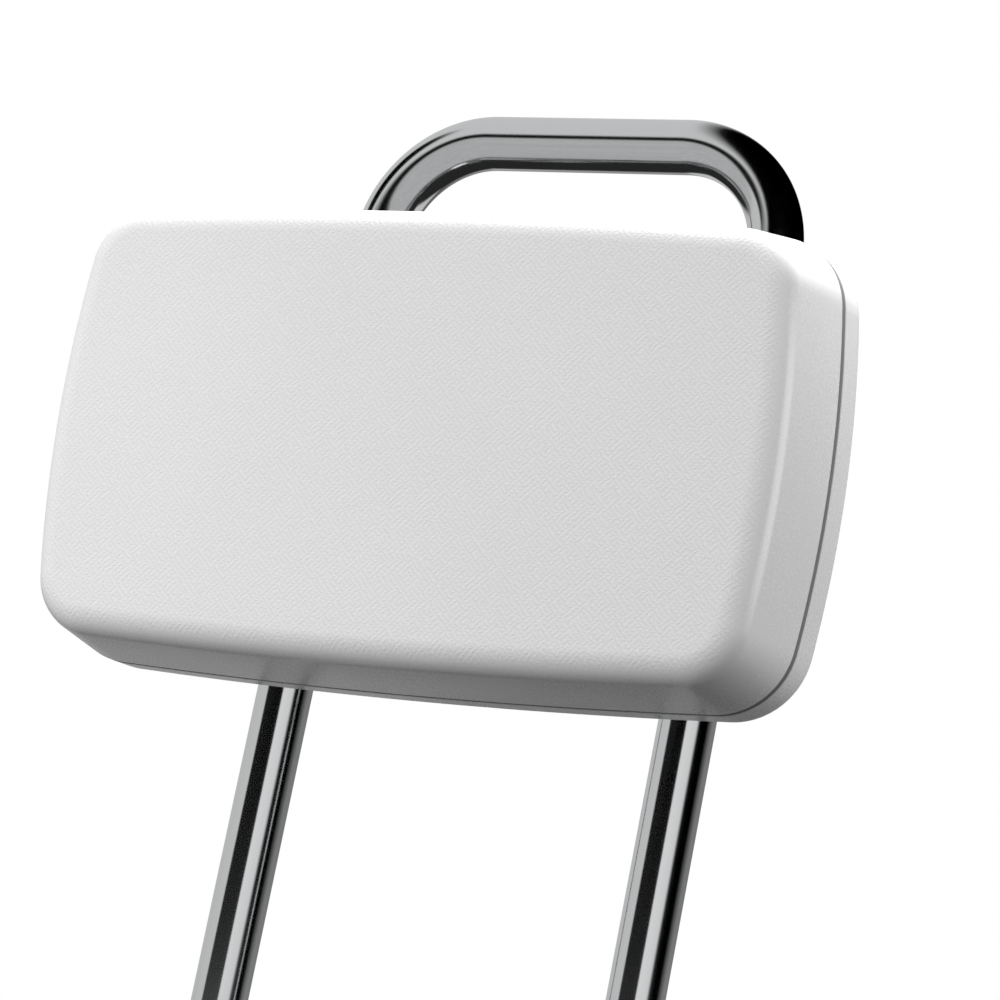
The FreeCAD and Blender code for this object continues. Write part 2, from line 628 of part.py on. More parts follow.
def frame_tube():
    """One tube bent to an inverted U, with a screw hole at each foot and a cable hole in the right leg."""
    body = new_body("frame_tube")
    profile = new_sketch(body, "XY", s.base_thickness)
    for radius in (tube_radius, tube_inside):
        circle(profile, -half_spacing, s.leg_setback, radius)
    path = new_sketch(body, "XZ", s.leg_setback)
    side, foot, crown, bend = (float(v) for v in (half_spacing, s.base_thickness, top_axis, s.bend_radius))
    spring = crown - bend
    left_bend = Part.Circle(Vector(bend - side, spring, 0), Vector(0, 0, 1), bend)
    right_bend = Part.Circle(Vector(side - bend, spring, 0), Vector(0, 0, 1), bend)
    path.addGeometry(Part.LineSegment(Vector(-side, foot, 0), Vector(-side, spring, 0)))
    path.addGeometry(Part.ArcOfCircle(left_bend, math.pi / 2, math.pi))
    path.addGeometry(Part.LineSegment(Vector(bend - side, crown, 0), Vector(side - bend, crown, 0)))
    path.addGeometry(Part.ArcOfCircle(right_bend, 0, math.pi / 2))
    path.addGeometry(Part.LineSegment(Vector(side, spring, 0), Vector(side, foot, 0)))
    for first, end, second, start in ((0, 2, 1, 2), (1, 1, 2, 1), (2, 2, 3, 2), (3, 1, 4, 1)):
        path.addConstraint(Sketcher.Constraint("Tangent", first, end, second, start))
    for kind, line in (("Vertical", 0), ("Horizontal", 2), ("Vertical", 4)):
        path.addConstraint(Sketcher.Constraint(kind, line))
    for arc in (1, 3):
        dimension(path, "Radius", arc, s.bend_radius)
    locate(path, 0, 1, -half_spacing, s.base_thickness)
    locate(path, 4, 2, half_spacing, s.base_thickness)
    dimension(path, "DistanceY", -1, 1, 2, 1, top_axis)
    doc.recompute()
    pipe = body.newObject("PartDesign::AdditivePipe", "Bend")
    pipe.Profile = profile
    pipe.Spine = (path, [f"Edge{k}" for k in range(1, 6)])
    feet = [(half_spacing * sign, leg_screw_z) for _, sign in LEFT_RIGHT]
    drill(body, "XZ", s.leg_setback, feet, s.leg_screw / 2 + s.screw_clearance, s.tube_diameter)
    entry = [(s.leg_setback, leg_entry_z)]
    drill(body, "YZ", half_spacing, entry, s.leg_entry_hole / 2, s.tube_diameter, -1)
    keep(body)


def leg_entry_grommet():
    """Rubber ring in the right leg's cable hole, with a lip inside and outside the tube's wall."""
    body = new_body("leg_entry_grommet")
    hole = [(s.leg_setback, leg_entry_z)]
    start = half_spacing - tube_radius - s.grommet_lip
    length = s.grommet_lip * 2 + s.tube_wall
    pegs(body, "YZ", start, hole, s.leg_entry_hole / 2 + s.grommet_flange, length)
    wall = new_sketch(body, "XY", leg_entry_z - s.leg_entry_hole)
    circle(wall, half_spacing, s.leg_setback, tube_radius)
    circle(wall, half_spacing, s.leg_setback, tube_inside)
    pocket(body, wall, s.leg_entry_hole * 2)
    pegs(body, "YZ", start, hole, s.leg_entry_hole / 2, length)
    drill(body, "YZ", start, hole, s.leg_entry_hole / 2 - s.grommet_wall, length)
    keep(body)


def base_plate():
    body = new_body("base_plate")
    plate = new_sketch(body, "XY")
    rounded(plate, base_width, base_depth, s.base_corner)
    pad(body, plate, s.base_thickness)
    soften(body, at_level("XY", s.base_thickness), s.base_chamfer, "Chamfer")
    anchors = four(base_width / 2 - s.anchor_inset, base_depth / 2 - s.anchor_inset)
    drill(body, "XY", 0, anchors, s.anchor_hole / 2, s.base_thickness)
    drill(body, "XY", 0, leg_places(), s.spigot_bore / 2, s.base_thickness)
    keep(body)


def leg_spigots():
    """Thick-walled stubs, welded to the plate, that the legs stand over."""
    for (name, sign), place in zip(LEFT_RIGHT, leg_places()):
        body = new_body(f"leg_spigot_{name}")
        floor, outside = s.base_thickness, tube_inside - s.spigot_clearance
        pegs(body, "XY", floor, [place], outside, s.spigot_height)
        soften(body, at_level("XY", floor + s.spigot_height), s.spigot_chamfer, "Chamfer")
        drill(body, "XY", floor, [place], s.spigot_bore / 2, s.spigot_height)
        screw = [(half_spacing * sign, leg_screw_z)]
        drill(body, "XZ", s.leg_setback, screw, s.leg_screw / 2, s.tube_diameter)
        keep(body)


def base_cover():
    """White moulded cover over the spigots, open below, with a hole for each leg and two for screws."""
    body = new_body("base_cover")
    for inset, way in ((MIDDLE, 1), (s.cover_wall, -1)):
        form = body if way > 0 else new_body("cover_cavity")
        plan = new_sketch(form, "XY", s.base_thickness)
        rounded(plan, cover_width - inset * 2, s.cover_depth - inset * 2, s.cover_corner - inset)
        pad(form, plan, s.cover_height - inset)
        soften(form, at_level("XY", cover_top - inset), s.cover_edge - inset)
    subtract(body, form)
    drill(body, "XY", cover_top, leg_places(), tube_radius + s.leg_clearance, s.cover_height, -1)
    fixings = [(MIDDLE, cover_screw_y * sign) for sign in (-1, 1)]
    drill(body, "XY", cover_top, fixings, s.cover_screw / 2 + s.screw_clearance, s.cover_height, -1)
    keep(body)


def base_cover_fixings():
    """Two hexagon posts on the plate and the two screws that hold the cover on them."""
    spots = [(MIDDLE, cover_screw_y * sign) for sign in (-1, 1)]
    posts = new_body("cover_posts")
    length = s.cover_height - s.cover_wall
    hexagons(posts, "XY", s.base_thickness, spots, s.cover_screw / 2, s.cover_post, length)
    keep(posts)
    body = new_body("cover_screws")
    screws(body, "XY", cover_top, spots, s.cover_screw, s.cover_screw_length, 1, BUTTON_HEAD)
    keep(body)


def leg_collars():
    """Chrome rings that hide the cover's leg holes."""
    inside = tube_radius + s.collar_clearance
    outside = inside + s.collar_width
    for (name, _), place in zip(LEFT_RIGHT, leg_places()):
        body = new_body(f"leg_collar_{name}")
        pegs(body, "XY", cover_top, [place], outside, s.collar_height)
        soften(body, at_level("XY", cover_top + s.collar_height), s.collar_round)
        drill(body, "XY", cover_top, [place], inside, s.collar_height)
        keep(body)


def leg_screws():
    """A button screw through the back of each leg into its spigot."""
    body = new_body("leg_screws")
    spots = [(half_spacing * sign, leg_screw_z) for _, sign in LEFT_RIGHT]
    seat = s.leg_setback + tube_radius
    screws(body, "XZ", seat, spots, s.leg_screw, s.leg_screw_length, 1, BUTTON_HEAD)
    keep(body)


# ---------------------------------------------------------------- tilt joint


def clamp_spots(signs=(-1, 1)):
    """Clamp bolt axes on the legs with these signs."""
    return [(half_spacing * leg + clamp_bolt_offset * x, pivot_height) for leg in signs for x in (-1, 1)]


def clamp_half(label, sign, way):
    """Half a clamp on the leg on the sign's side, in front of its axis (way -1) or behind it."""
    body = new_body(label)
    depth = clamp_face - s.clamp_gap / 2
    outer = s.leg_setback + clamp_face * way
    foot = pivot_height - s.clamp_height / 2
    plan = new_sketch(body, "XY", foot)
    rectangle(plan, clamp_width, depth, half_spacing * sign, outer - depth / 2 * way)
    pad(body, plan, s.clamp_height)

    def outer_corner(edge):
        box = edge.BoundBox
        return box.ZLength > 1 and box.XLength < TRACE and abs(box.YMin - float(outer)) < TRACE

    soften(body, outer_corner, s.clamp_round)
    drill(body, "XY", foot, [(half_spacing * sign, s.leg_setback)], tube_radius, s.clamp_height)
    drill(body, "XZ", outer, clamp_spots((sign,)), s.clamp_bolt / 2, clamp_face, -way)
    keep(body)


def tube_clamps():
    """Two halves round each leg; the front halves carry the tilt bracket."""
    for name, sign in LEFT_RIGHT:
        for half, way in (("front", -1), ("rear", 1)):
            clamp_half(f"clamp_{half}_{name}", sign, way)


def ears(body, inner, root, end, height):
    """Two upright ears that start at inner on each side, from root to a round end about the pivot."""
    reach, middle = end - root, root + (end - root) / 2
    size = reach if float(reach) > 0 else -reach
    for _, sign in LEFT_RIGHT:
        arm = new_sketch(body, "YZ", inner * sign)
        rectangle(arm, size, ear_radius * 2, middle, height)
        pad(body, arm, s.sheet_steel, sign)
        pegs(body, "YZ", inner * sign, [(end, height)], ear_radius, s.sheet_steel, sign)


def tilt_bracket():
    """Bent sheet across both front clamps, with two ears that reach forward to the pivot."""
    body = new_body("tilt_bracket")
    cross = new_sketch(body, "XZ", clamp_front)
    rounded(cross, s.leg_spacing + clamp_width, s.clamp_height, s.sheet_corner, 0, pivot_height)
    pad(body, cross, s.sheet_steel, -1)
    ears(body, frame_ear_x, clamp_front - s.sheet_steel, pivot_y, pivot_height)
    hole, half = s.pivot_bolt / 2 + s.pivot_clearance, frame_ear_x + s.sheet_steel
    drill(body, "YZ", -half, [(pivot_y, pivot_height)], hole, half * 2)
    drill(body, "XZ", clamp_front, clamp_spots(), s.clamp_bolt / 2, s.sheet_steel, -1)
    keep(body)


def clamp_fixings():
    """Four bolts from the back through both halves and the bracket, with nuts in front."""
    bolts = new_body("clamp_bolts")
    grip = clamp_face * 2 + s.sheet_steel
    seat = s.leg_setback + clamp_face
    screws(bolts, "XZ", seat, clamp_spots(), s.clamp_bolt, through(grip, s.clamp_bolt), 1)
    keep(bolts)
    body = new_body("clamp_nuts")
    nuts(body, "XZ", clamp_front - s.sheet_steel, clamp_spots(), s.clamp_bolt, -1)
    keep(body)


def bracket_spots():
    """Bracket screw axes, seen from behind the head."""
    return four(s.bracket_width / 2 - s.bracket_inset_x, s.bracket_height / 2 - s.bracket_inset_z)


def head_bracket():
    """Bent sheet on the head's back: a foot with two ears that carry the pivot bolts."""
    body = new_body("head_bracket")
    foot = new_sketch(body, "XZ", s.rear_depth)
    rounded(foot, s.bracket_width, s.bracket_height, s.sheet_corner)
    pad(body, foot, s.sheet_steel)
    ears(body, head_ear_x, s.rear_depth, pivot_reach, MIDDLE)
    half = head_ear_x + s.sheet_steel
    drill(body, "YZ", -half, [(pivot_reach, MIDDLE)], s.pivot_bolt / 2, half * 2)
    drill(body, "XZ", s.rear_depth, bracket_spots(), s.bracket_screw / 2, s.sheet_steel)
    keep(body, HEAD)


def pivot_fixings():
    """On each side a bolt through both ears, a nylon friction washer between them and a nut inside."""
    pivot = [(pivot_reach, MIDDLE)]
    length = through(pivot_seat_x - head_ear_x, s.pivot_bolt)
    for name, sign in LEFT_RIGHT:
        bolt = new_body(f"pivot_bolt_{name}")
        screws(bolt, "YZ", pivot_seat_x * sign, pivot, s.pivot_bolt, length, sign)
        keep(bolt, HEAD)
    inside = new_body("pivot_nuts")
    washers = new_body("friction_washers")
    for _, sign in LEFT_RIGHT:
        nuts(inside, "YZ", head_ear_x * sign, pivot, s.pivot_bolt, -sign)
        outside = ear_radius - s.washer_rim
        rings(washers, "YZ", washer_x * sign, pivot, s.pivot_bolt / 2, outside, s.washer_thickness, sign)
    keep(inside, HEAD)
    keep(washers, HEAD)


def head_bracket_fixings():
    """Screws through bracket, rear shell and chassis plate, with nuts inside."""
    grip = s.sheet_steel + s.shell_wall + s.chassis_sheet
    outside = s.rear_depth + s.sheet_steel
    body = new_body("bracket_screws")
    length = through(grip, s.bracket_screw)
    screws(body, "XZ", outside, bracket_spots(), s.bracket_screw, length, 1, BUTTON_HEAD)
    keep(body, HEAD)
    inside = new_body("bracket_nuts")
    nuts(inside, "XZ", chassis_front, bracket_spots(), s.bracket_screw, -1)
    keep(inside, HEAD)


# ---------------------------------------------------------------- head shells


def boss_spots():
    """Shell screw axes: four corners and the middle of the top and bottom."""
    corners = four(s.head_width / 2 - s.boss_inset_x, s.head_height / 2 - s.boss_inset_z)
    middle = s.head_height / 2 - s.middle_boss_inset
    return corners + [(MIDDLE, middle), (MIDDLE, -middle)]


def coil_spots():
    """Coil post axes, in the middle of the former's web."""
    return four(coil_width / 2 - s.coil_post_inset, coil_height / 2 - s.coil_ring + s.coil_web / 2)


def outermost(point):
    """True for a point on the head's outline, false for one on the inside of its wall."""
    corner_x, corner_z = (float(v / 2 - s.head_corner) for v in (s.head_width, s.head_height))
    past = math.hypot(max(abs(point.x) - corner_x, 0), max(abs(point.z) - corner_z, 0))
    return past > float(s.head_corner - s.shell_wall / 2)


def front_form(name, inset):
    """The front half's drafted form with its rounded face, drawn in all round by inset."""
    body = new_body(name)
    face = inset - s.front_depth
    made = body.newObject("PartDesign::AdditiveLoft", "Draft")
    made.Profile = outline_sketch(body, -s.seam_gap / 2, inset)
    made.Sections = [outline_sketch(body, face, inset + s.front_draft)]
    made.Ruled = True
    soften(body, at_level("XZ", face), s.front_edge - inset)
    return body


def rear_form(name, inset):
    """The rear half's form drawn in by inset: a straight band, then a bevel to the flat back.

    A wall of even thickness puts the inner crease a third of the wall forward, and the inner bevel's end
    half a wall further in.
    """
    body = new_body(name)
    rim, crease, back = s.seam_gap / 2, s.band_depth - inset / 3, s.rear_depth - inset
    pad(body, outline_sketch(body, rim, inset), back - rim)
    bevel = soften(body, at_level("XZ", back), back - crease, "Chamfer")
    bevel.ChamferType = "Two distances"
    bevel.setExpression("Size2", (s.rear_inset - inset / 2).text)
    soften(body, at_level("XZ", back), s.rear_edge - inset)
    soften(body, at_level("XZ", crease), s.crease_round - inset)
    return body


def front_shell():
    body = front_form("front_shell", MIDDLE)
    subtract(body, front_form("front_cavity", s.shell_wall))
    soften(body, at_level("XZ", -s.seam_gap / 2, outermost), s.seam_edge)
    pegs(body, "XZ", 0, boss_spots(), s.boss_radius, s.front_depth - s.shell_wall / 2, -1)
    drill(body, "XZ", 0, boss_spots(), s.shell_screw / 2, s.pilot_depth, -1)
    pegs(body, "XZ", coil_front, coil_spots(), s.boss_radius, s.coil_gap + s.shell_wall / 2, -1)
    drill(body, "XZ", coil_front, coil_spots(), s.coil_screw / 2, s.coil_gap - s.post_floor, -1)
    keep(body, HEAD)


def grille_spots():
    """Sound holes: one at the sounder's middle and a ring of them round it."""
    ring = s.sounder_diameter / 2 - s.grille_inset
    angles = [k * 2 * math.pi / GRILLE_HOLES for k in range(GRILLE_HOLES)]
    around = [(s.sounder_x + ring * math.sin(a), ring * math.cos(a)) for a in angles]
    return around + [(s.sounder_x, MIDDLE)]


def rear_shell():
    body = rear_form("rear_shell", MIDDLE)
    subtract(body, rear_form("rear_cavity", s.shell_wall))
    soften(body, at_level("XZ", s.seam_gap / 2, outermost), s.seam_edge)
    pegs(body, "XZ", 0, boss_spots(), s.boss_radius, s.rear_depth - s.shell_wall / 2)
    drill(body, "XZ", 0, boss_spots(), s.shell_screw / 2, s.rear_depth)
    sunk = s.rear_depth - s.boss_floor
    drill(body, "XZ", s.boss_floor, boss_spots(), s.boss_radius - s.sink_wall, sunk)
    drill(body, "XZ", rear_inside, bracket_spots(), s.bracket_screw / 2, s.shell_wall)
    drill(body, "XZ", rear_inside, [(MIDDLE, -s.gland_drop)], s.gland_thread / 2, s.shell_wall)
    drill(body, "XZ", rear_inside, grille_spots(), s.grille_hole / 2, s.shell_wall)
    keep(body, HEAD)


def seam_gasket():
    """Grey strip between the shells, a little below their outline."""
    body = new_body("seam_gasket")
    rim = -s.seam_gap / 2
    pad(body, outline_sketch(body, rim, s.gasket_recess), s.seam_gap)
    pocket(body, outline_sketch(body, rim, s.gasket_recess + s.gasket_depth), s.seam_gap)
    keep(body, HEAD)


def shell_screws():
    body = new_body("shell_screws")
    screws(body, "XZ", s.boss_floor, boss_spots(), s.shell_screw, s.shell_screw_length, 1)
    keep(body, HEAD)


# ---------------------------------------------------------------- inside the head


def chassis_plate():
    body = new_body("chassis_plate")
    plate = new_sketch(body, "XZ", chassis_front)
    rounded(plate, chassis_width, chassis_height, s.chassis_corner)
    pad(body, plate, s.chassis_sheet)
    drill(body, "XZ", chassis_front, bracket_spots(), s.bracket_screw / 2, s.chassis_sheet)
    gland = s.gland_thread / 2 + s.gland_access
    drill(body, "XZ", chassis_front, [(MIDDLE, -s.gland_drop)], gland, s.chassis_sheet)
    sounder_hole = s.sounder_diameter / 2 + s.sounder_access
    drill(body, "XZ", chassis_front, [(s.sounder_x, MIDDLE)], sounder_hole, s.chassis_sheet)
    keep(body, HEAD)


def circuit_board():
    """The board with its four hexagon standoffs and screws."""
    spots = four(s.board_width / 2 - s.board_hole_inset, s.board_height / 2 - s.board_hole_inset)
    body = new_body("circuit_board")
    plate = new_sketch(body, "XZ", board_front)
    rounded(plate, s.board_width, s.board_height, s.board_corner)
    pad(body, plate, s.board_sheet)
    drill(body, "XZ", board_front, spots, s.board_screw / 2, s.board_sheet)
    keep(body, HEAD)
    posts = new_body("board_standoffs")
    start = board_front + s.board_sheet
    hexagons(posts, "XZ", start, spots, s.board_screw / 2, s.standoff_across, s.board_standoff)
    keep(posts, HEAD)
    fixings = new_body("board_screws")
    screws(fixings, "XZ", board_front, spots, s.board_screw, s.board_screw_length, -1, BUTTON_HEAD)
    keep(fixings, HEAD)


def coil_former():
    """Plastic ring with a channel round its outside for the winding."""
    body = new_body("coil_former")
    ring = new_sketch(body, "XZ", coil_front)
    width, bite = s.coil_ring * 2, s.coil_ring - s.coil_web
    rounded(ring, coil_width, coil_height, s.coil_corner)
    rounded(ring, coil_width - width, coil_height - width, s.coil_corner - s.coil_ring)
    pad(body, ring, s.coil_depth)
    channel = new_sketch(body, "XZ", coil_front + s.coil_flange)
    rectangle(channel, coil_width + bite, coil_height + bite)
    rounded(channel, coil_width - bite * 2, coil_height - bite * 2, s.coil_corner - bite)
    pocket(body, channel, s.coil_depth - s.coil_flange * 2)
    drill(body, "XZ", coil_front, coil_spots(), s.coil_screw / 2, s.coil_depth)
    keep(body, HEAD)


def antenna_coil():
    """The enamelled winding in the former's channel, a little below the flanges' edge."""
    body = new_body("antenna_coil")
    ring = new_sketch(body, "XZ", coil_front + s.coil_flange)
    for inset in (s.coil_rim, s.coil_ring - s.coil_web):
        rounded(ring, coil_width - inset * 2, coil_height - inset * 2, s.coil_corner - inset)
    pad(body, ring, s.coil_depth - s.coil_flange * 2)
    keep(body, HEAD)


def coil_screws():
    body = new_body("coil_screws")
    length = s.coil_depth + s.coil_screw_bite
    screws(body, "XZ", coil_back, coil_spots(), s.coil_screw, length, 1, BUTTON_HEAD)
    keep(body, HEAD)


def stand_block(body, width, height, depth, x, z, lift=MIDDLE):
    """A block on the front of the circuit board, lifted off it."""
    plan = new_sketch(body, "XZ", board_front - lift)
    rectangle(plan, width, height, x, z)
    pad(body, plan, depth, -1)


def shield_can():
    body = new_body("shield_can")
    stand_block(body, s.can_width, s.can_height, s.can_depth, s.can_x, s.can_z)
    over = s.can_lip * 2
    stand_block(body, s.can_width + over, s.can_height + over, s.can_lip, s.can_x, s.can_z, s.can_depth)
    keep(body, HEAD)


def transformer():
    body = new_body("transformer")
    stand_block(body, s.core_width, s.core_height, s.core_depth, s.core_x, s.core_z)
    start = s.core_z - s.core_height / 2 - s.winding_overhang
    middle = [(s.core_x, board_front - s.core_depth / 2)]
    length = s.core_height + s.winding_overhang * 2
    pegs(body, "XY", start, middle, s.winding_diameter / 2, length)
    keep(body, HEAD)


def capacitors():
    body = new_body("capacitors")
    first = s.capacitor_x - s.capacitor_pitch * ((CAPACITORS - 1) / 2)
    spots = [(first + s.capacitor_pitch * k, s.capacitor_z) for k in range(CAPACITORS)]
    pegs(body, "XZ", board_front, spots, s.capacitor_diameter / 2, s.capacitor_height, -1)
    keep(body, HEAD)


def heat_sink():
    body = new_body("heat_sink")
    stand_block(body, s.sink_width, s.sink_height, s.sink_plate, s.sink_x, s.sink_z)
    comb = new_sketch(body, "XZ", board_front - s.sink_plate)
    pitch = (s.sink_width - s.fin_thickness) / (FINS - 1)
    for k in range(FINS):
        rectangle(comb, s.fin_thickness, s.sink_height, s.sink_x + pitch * (k - (FINS - 1) / 2), s.sink_z)
    pad(body, comb, s.fin_depth, -1)
    keep(body, HEAD)


def terminal_block():
    body = new_body("terminal_block")
    width = s.terminal_pitch * TERMINALS
    stand_block(body, width, s.terminal_height, s.terminal_depth, s.terminal_x, s.terminal_z)
    first = s.terminal_x - s.terminal_pitch * ((TERMINALS - 1) / 2)
    spots = [(first + s.terminal_pitch * k, s.terminal_z) for k in range(TERMINALS)]
    depth = s.terminal_depth - s.terminal_floor
    drill(body, "XZ", board_front - s.terminal_depth, spots, s.terminal_hole / 2, depth)
    keep(body, HEAD)


def tuning_trimmer():
    """Screwdriver trimmer that tunes the coil: a square body and a slotted rotor that turns in its well."""
    spot = [(MIDDLE, s.trimmer_z)]
    face = board_front - s.trimmer_depth
    base = new_body("trimmer_body")
    stand_block(base, s.trimmer_width, s.trimmer_width, s.trimmer_depth, 0, s.trimmer_z)
    drill(base, "XZ", face, spot, well_radius, s.rotor_length)
    keep(base, HEAD)
    rotor = new_body("trimmer_rotor")
    end = face - s.rotor_clearance
    pegs(rotor, "XZ", end, spot, s.rotor_diameter / 2, s.rotor_length)
    slot = new_sketch(rotor, "XZ", end)
    rectangle(slot, s.rotor_slot, s.rotor_diameter * 2, 0, s.trimmer_z)
    pocket(rotor, slot, s.rotor_slot)
    keep(rotor, HEAD)


def sounder():
    """Round sounder behind the grille of the rear shell."""
    body = new_body("sounder")
    spot, radius = [(s.sounder_x, MIDDLE)], s.sounder_diameter / 2
    pegs(body, "XZ", rear_inside, spot, radius, s.sounder_height, -1)
    drill(body, "XZ", rear_inside, spot, radius - s.sounder_rim, s.sounder_mouth, -1)
    keep(body, HEAD)


def cable_gland():
    """Gland in the rear shell and its lock nut inside."""
    spot = [(MIDDLE, -s.gland_drop)]
    stem, outside = s.shell_wall + s.gland_stem, s.gland_collar + s.gland_dome
    body = new_body("cable_gland")
    collar = new_sketch(body, "XZ", s.rear_depth)
    hexagon(collar, *spot[0], s.gland_across)
    pad(body, collar, s.gland_collar)
    pegs(body, "XZ", s.rear_depth, spot, s.gland_dome_diameter / 2, outside)
    soften(body, at_level("XZ", s.rear_depth + outside), s.gland_round)
    pegs(body, "XZ", s.rear_depth, spot, s.gland_thread / 2, stem, -1)
    drill(body, "XZ", s.rear_depth - stem, spot, s.gland_bore / 2, stem + outside)
    keep(body, HEAD)
    nut = new_body("gland_nut")
    hexagons(nut, "XZ", rear_inside, spot, s.gland_thread / 2, s.gland_across, s.gland_nut_height, -1)
    keep(nut, HEAD)


def build():
    for make in (
        frame_tube,
        leg_entry_grommet,
        base_plate,
        leg_spigots,
        base_cover,
        base_cover_fixings,
        leg_collars,
        leg_screws,
        tube_clamps,
        tilt_bracket,
        clamp_fixings,
        head_bracket,
        pivot_fixings,
        head_bracket_fixings,
        front_shell,
        rear_shell,
        seam_gasket,
        shell_screws,
        chassis_plate,
        circuit_board,
        coil_former,
        antenna_coil,
        coil_screws,
        shield_can,
        transformer,
        capacitors,
        heat_sink,
        terminal_block,
        tuning_trimmer,
        sounder,
        cable_gland,
    ):
        make()
    doc.recompute()


def check():
    """Refuses a document with a failed object or a sub-part without valid solids."""
    for item in doc.Objects:
        if {"Invalid", "Error"} & set(item.State):
            raise RuntimeError(f"{item.Label} is {item.State}")
    for label, item in PARTS.items():
        shape = item.Shape
        if shape.isNull() or not shape.isValid() or not shape.Solids:
            raise RuntimeError(f"{label} has no valid solid")


def export():
    os.makedirs("parts", exist_ok=True)
    for label, item in PARTS.items():
        item.Shape.exportStep(os.path.join("parts", f"{label}.step"))


build()
check()
export()
print(f"{len(PARTS)} sub-parts, {sum(len(p.Shape.Solids) for p in PARTS.values())} solids")
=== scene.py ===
"""Visual model of a security gate post: a white detector head before a chrome inverted-U frame on a base."""
import json
import math

import bpy
import numpy as np
from bpy.props import FloatProperty, FloatVectorProperty, IntProperty, PointerProperty
from mathutils import Matrix, Vector

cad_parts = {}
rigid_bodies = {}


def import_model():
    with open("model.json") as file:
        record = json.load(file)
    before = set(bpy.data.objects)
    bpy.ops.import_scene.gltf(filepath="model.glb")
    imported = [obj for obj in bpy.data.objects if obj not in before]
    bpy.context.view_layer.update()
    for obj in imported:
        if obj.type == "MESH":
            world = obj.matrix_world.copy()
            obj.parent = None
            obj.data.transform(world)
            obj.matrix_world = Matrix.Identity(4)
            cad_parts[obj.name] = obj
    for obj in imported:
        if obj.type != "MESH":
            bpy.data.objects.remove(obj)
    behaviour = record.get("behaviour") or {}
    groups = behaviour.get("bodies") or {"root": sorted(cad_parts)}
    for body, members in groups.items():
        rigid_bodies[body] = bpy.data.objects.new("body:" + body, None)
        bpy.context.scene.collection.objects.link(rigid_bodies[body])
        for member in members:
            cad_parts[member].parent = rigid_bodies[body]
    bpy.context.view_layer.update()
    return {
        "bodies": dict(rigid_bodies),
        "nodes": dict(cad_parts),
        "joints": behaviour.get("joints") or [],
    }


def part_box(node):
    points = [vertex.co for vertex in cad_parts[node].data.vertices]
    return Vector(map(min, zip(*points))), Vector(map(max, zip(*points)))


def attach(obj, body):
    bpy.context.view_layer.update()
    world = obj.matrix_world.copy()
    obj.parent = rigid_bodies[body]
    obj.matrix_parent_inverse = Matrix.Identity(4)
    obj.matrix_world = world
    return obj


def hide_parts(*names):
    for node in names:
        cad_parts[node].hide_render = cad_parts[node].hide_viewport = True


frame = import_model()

bl_info = {
    "name": "Security gate post",
    "version": (1, 0, 0),
    "blender": (4, 5, 0),
    "location": "View3D > Sidebar > Gate",
    "description": "Builds the gate's chrome frame, head, base and inner works round its packed model",
    "category": "Object",
}

TUBE_LOW, TUBE_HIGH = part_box("frame_tube")
COLLAR_LOW, COLLAR_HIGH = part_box("leg_collar_right")
BACK = next(np.array(j["axis"], float) for j in frame["joints"] if j["name"] == "trimmer_turn")
RIGHT = np.array((1.0, 0.0, 0.0))
UP = np.cross(RIGHT, BACK)
HEAD_AXES = np.array((RIGHT, BACK, UP))
HEAD_MIDDLE = np.array(sum(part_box("seam_gasket"), Vector()) / 2)

# The front shell's face profile starts this many edge radii inside the face's corner.
FACE_START = 1.6
# Rings of the flat face, as shares of the way out from its middle.
FACE_SHARES = (0.25, 0.5, 0.75)
# How far behind the face the grain is still whole, and where it is gone, in edge radii.
GRAIN_FADE = (0.05, 0.35)
# Between a leg and its collar.
COLLAR_CLEARANCE = 0.0002


def head_box(name):
    """Lowest and highest corner of a CAD node in the head's own axes, from the head's middle."""
    points = np.array([v.co for v in frame["nodes"][name].data.vertices]) - HEAD_MIDDLE
    local = points @ HEAD_AXES.T
    return local.min(0), local.max(0)


def to_gate(local):
    """Points in the head's axes, put in the gate's: the head's middle plus shares of right, back and up."""
    return HEAD_MIDDLE + np.asarray(local) @ HEAD_AXES


# ---------------------------------------------------------------- settings


def length(name, default, description):
    return FloatProperty(name=name, default=default, description=description, unit="LENGTH", precision=5)


def colour(name, default, description):
    return FloatVectorProperty(
        name=name, default=default, description=description, subtype="COLOR", size=3, min=0, max=1
    )


def angle(name, degrees, description):
    return FloatProperty(name=name, default=math.radians(degrees), description=description, subtype="ANGLE")


def power(name, default, description):
    return FloatProperty(name=name, default=default, description=description, unit="POWER")


class TubeSettings(bpy.types.PropertyGroup):
    diameter: length("Diameter", TUBE_HIGH.y - TUBE_LOW.y, "Outside diameter of the frame tube")
    wall: length("Wall", 0.0015, "Wall of the frame tube")
    bend: length("Bend radius", 0.066, "Centre-line radius of the two top bends")
    around: IntProperty(name="Facets around", default=128, description="Faces round the tube")
    along: IntProperty(name="Facets per bend", default=64, description="Faces along each bend")
    up: IntProperty(name="Facets per leg", default=60, description="Faces up each leg")


class HeadSettings(bpy.types.PropertyGroup):
    width: length("Width", head_box("rear_shell")[1][0] * 2, "Head across its bowed sides")
    height: length("Height", head_box("rear_shell")[1][2] * 2, "Head over its bowed top and bottom")
    side_arc: length("Side arc", 0.707, "Radius of the bowed left and right sides")
    top_arc: length("Top arc", 4.110, "Radius of the bowed top and bottom")
    corner: length("Corner", 0.043, "Corner radius of the outline")
    depth: length("Front depth", 0.058, "Seam plane to the front face")
    draft: length("Draft", 0.0095, "How far the outline draws in at the front face")
    edge: length("Front edge", 0.016, "Rounding of the front face's edge")
    wall: length("Wall", 0.003, "Wall of the front shell")
    gap: length("Seam gap", 0.004, "Gap between the shells")
    lip: length("Seam edge", 0.0008, "Rounding of the shell's outer edge at the seam")
    gasket_recess: length("Gasket recess", 0.0002, "Gasket below the outline")
    gasket_depth: length("Gasket depth", 0.0033, "Gasket strip, outside to inside")


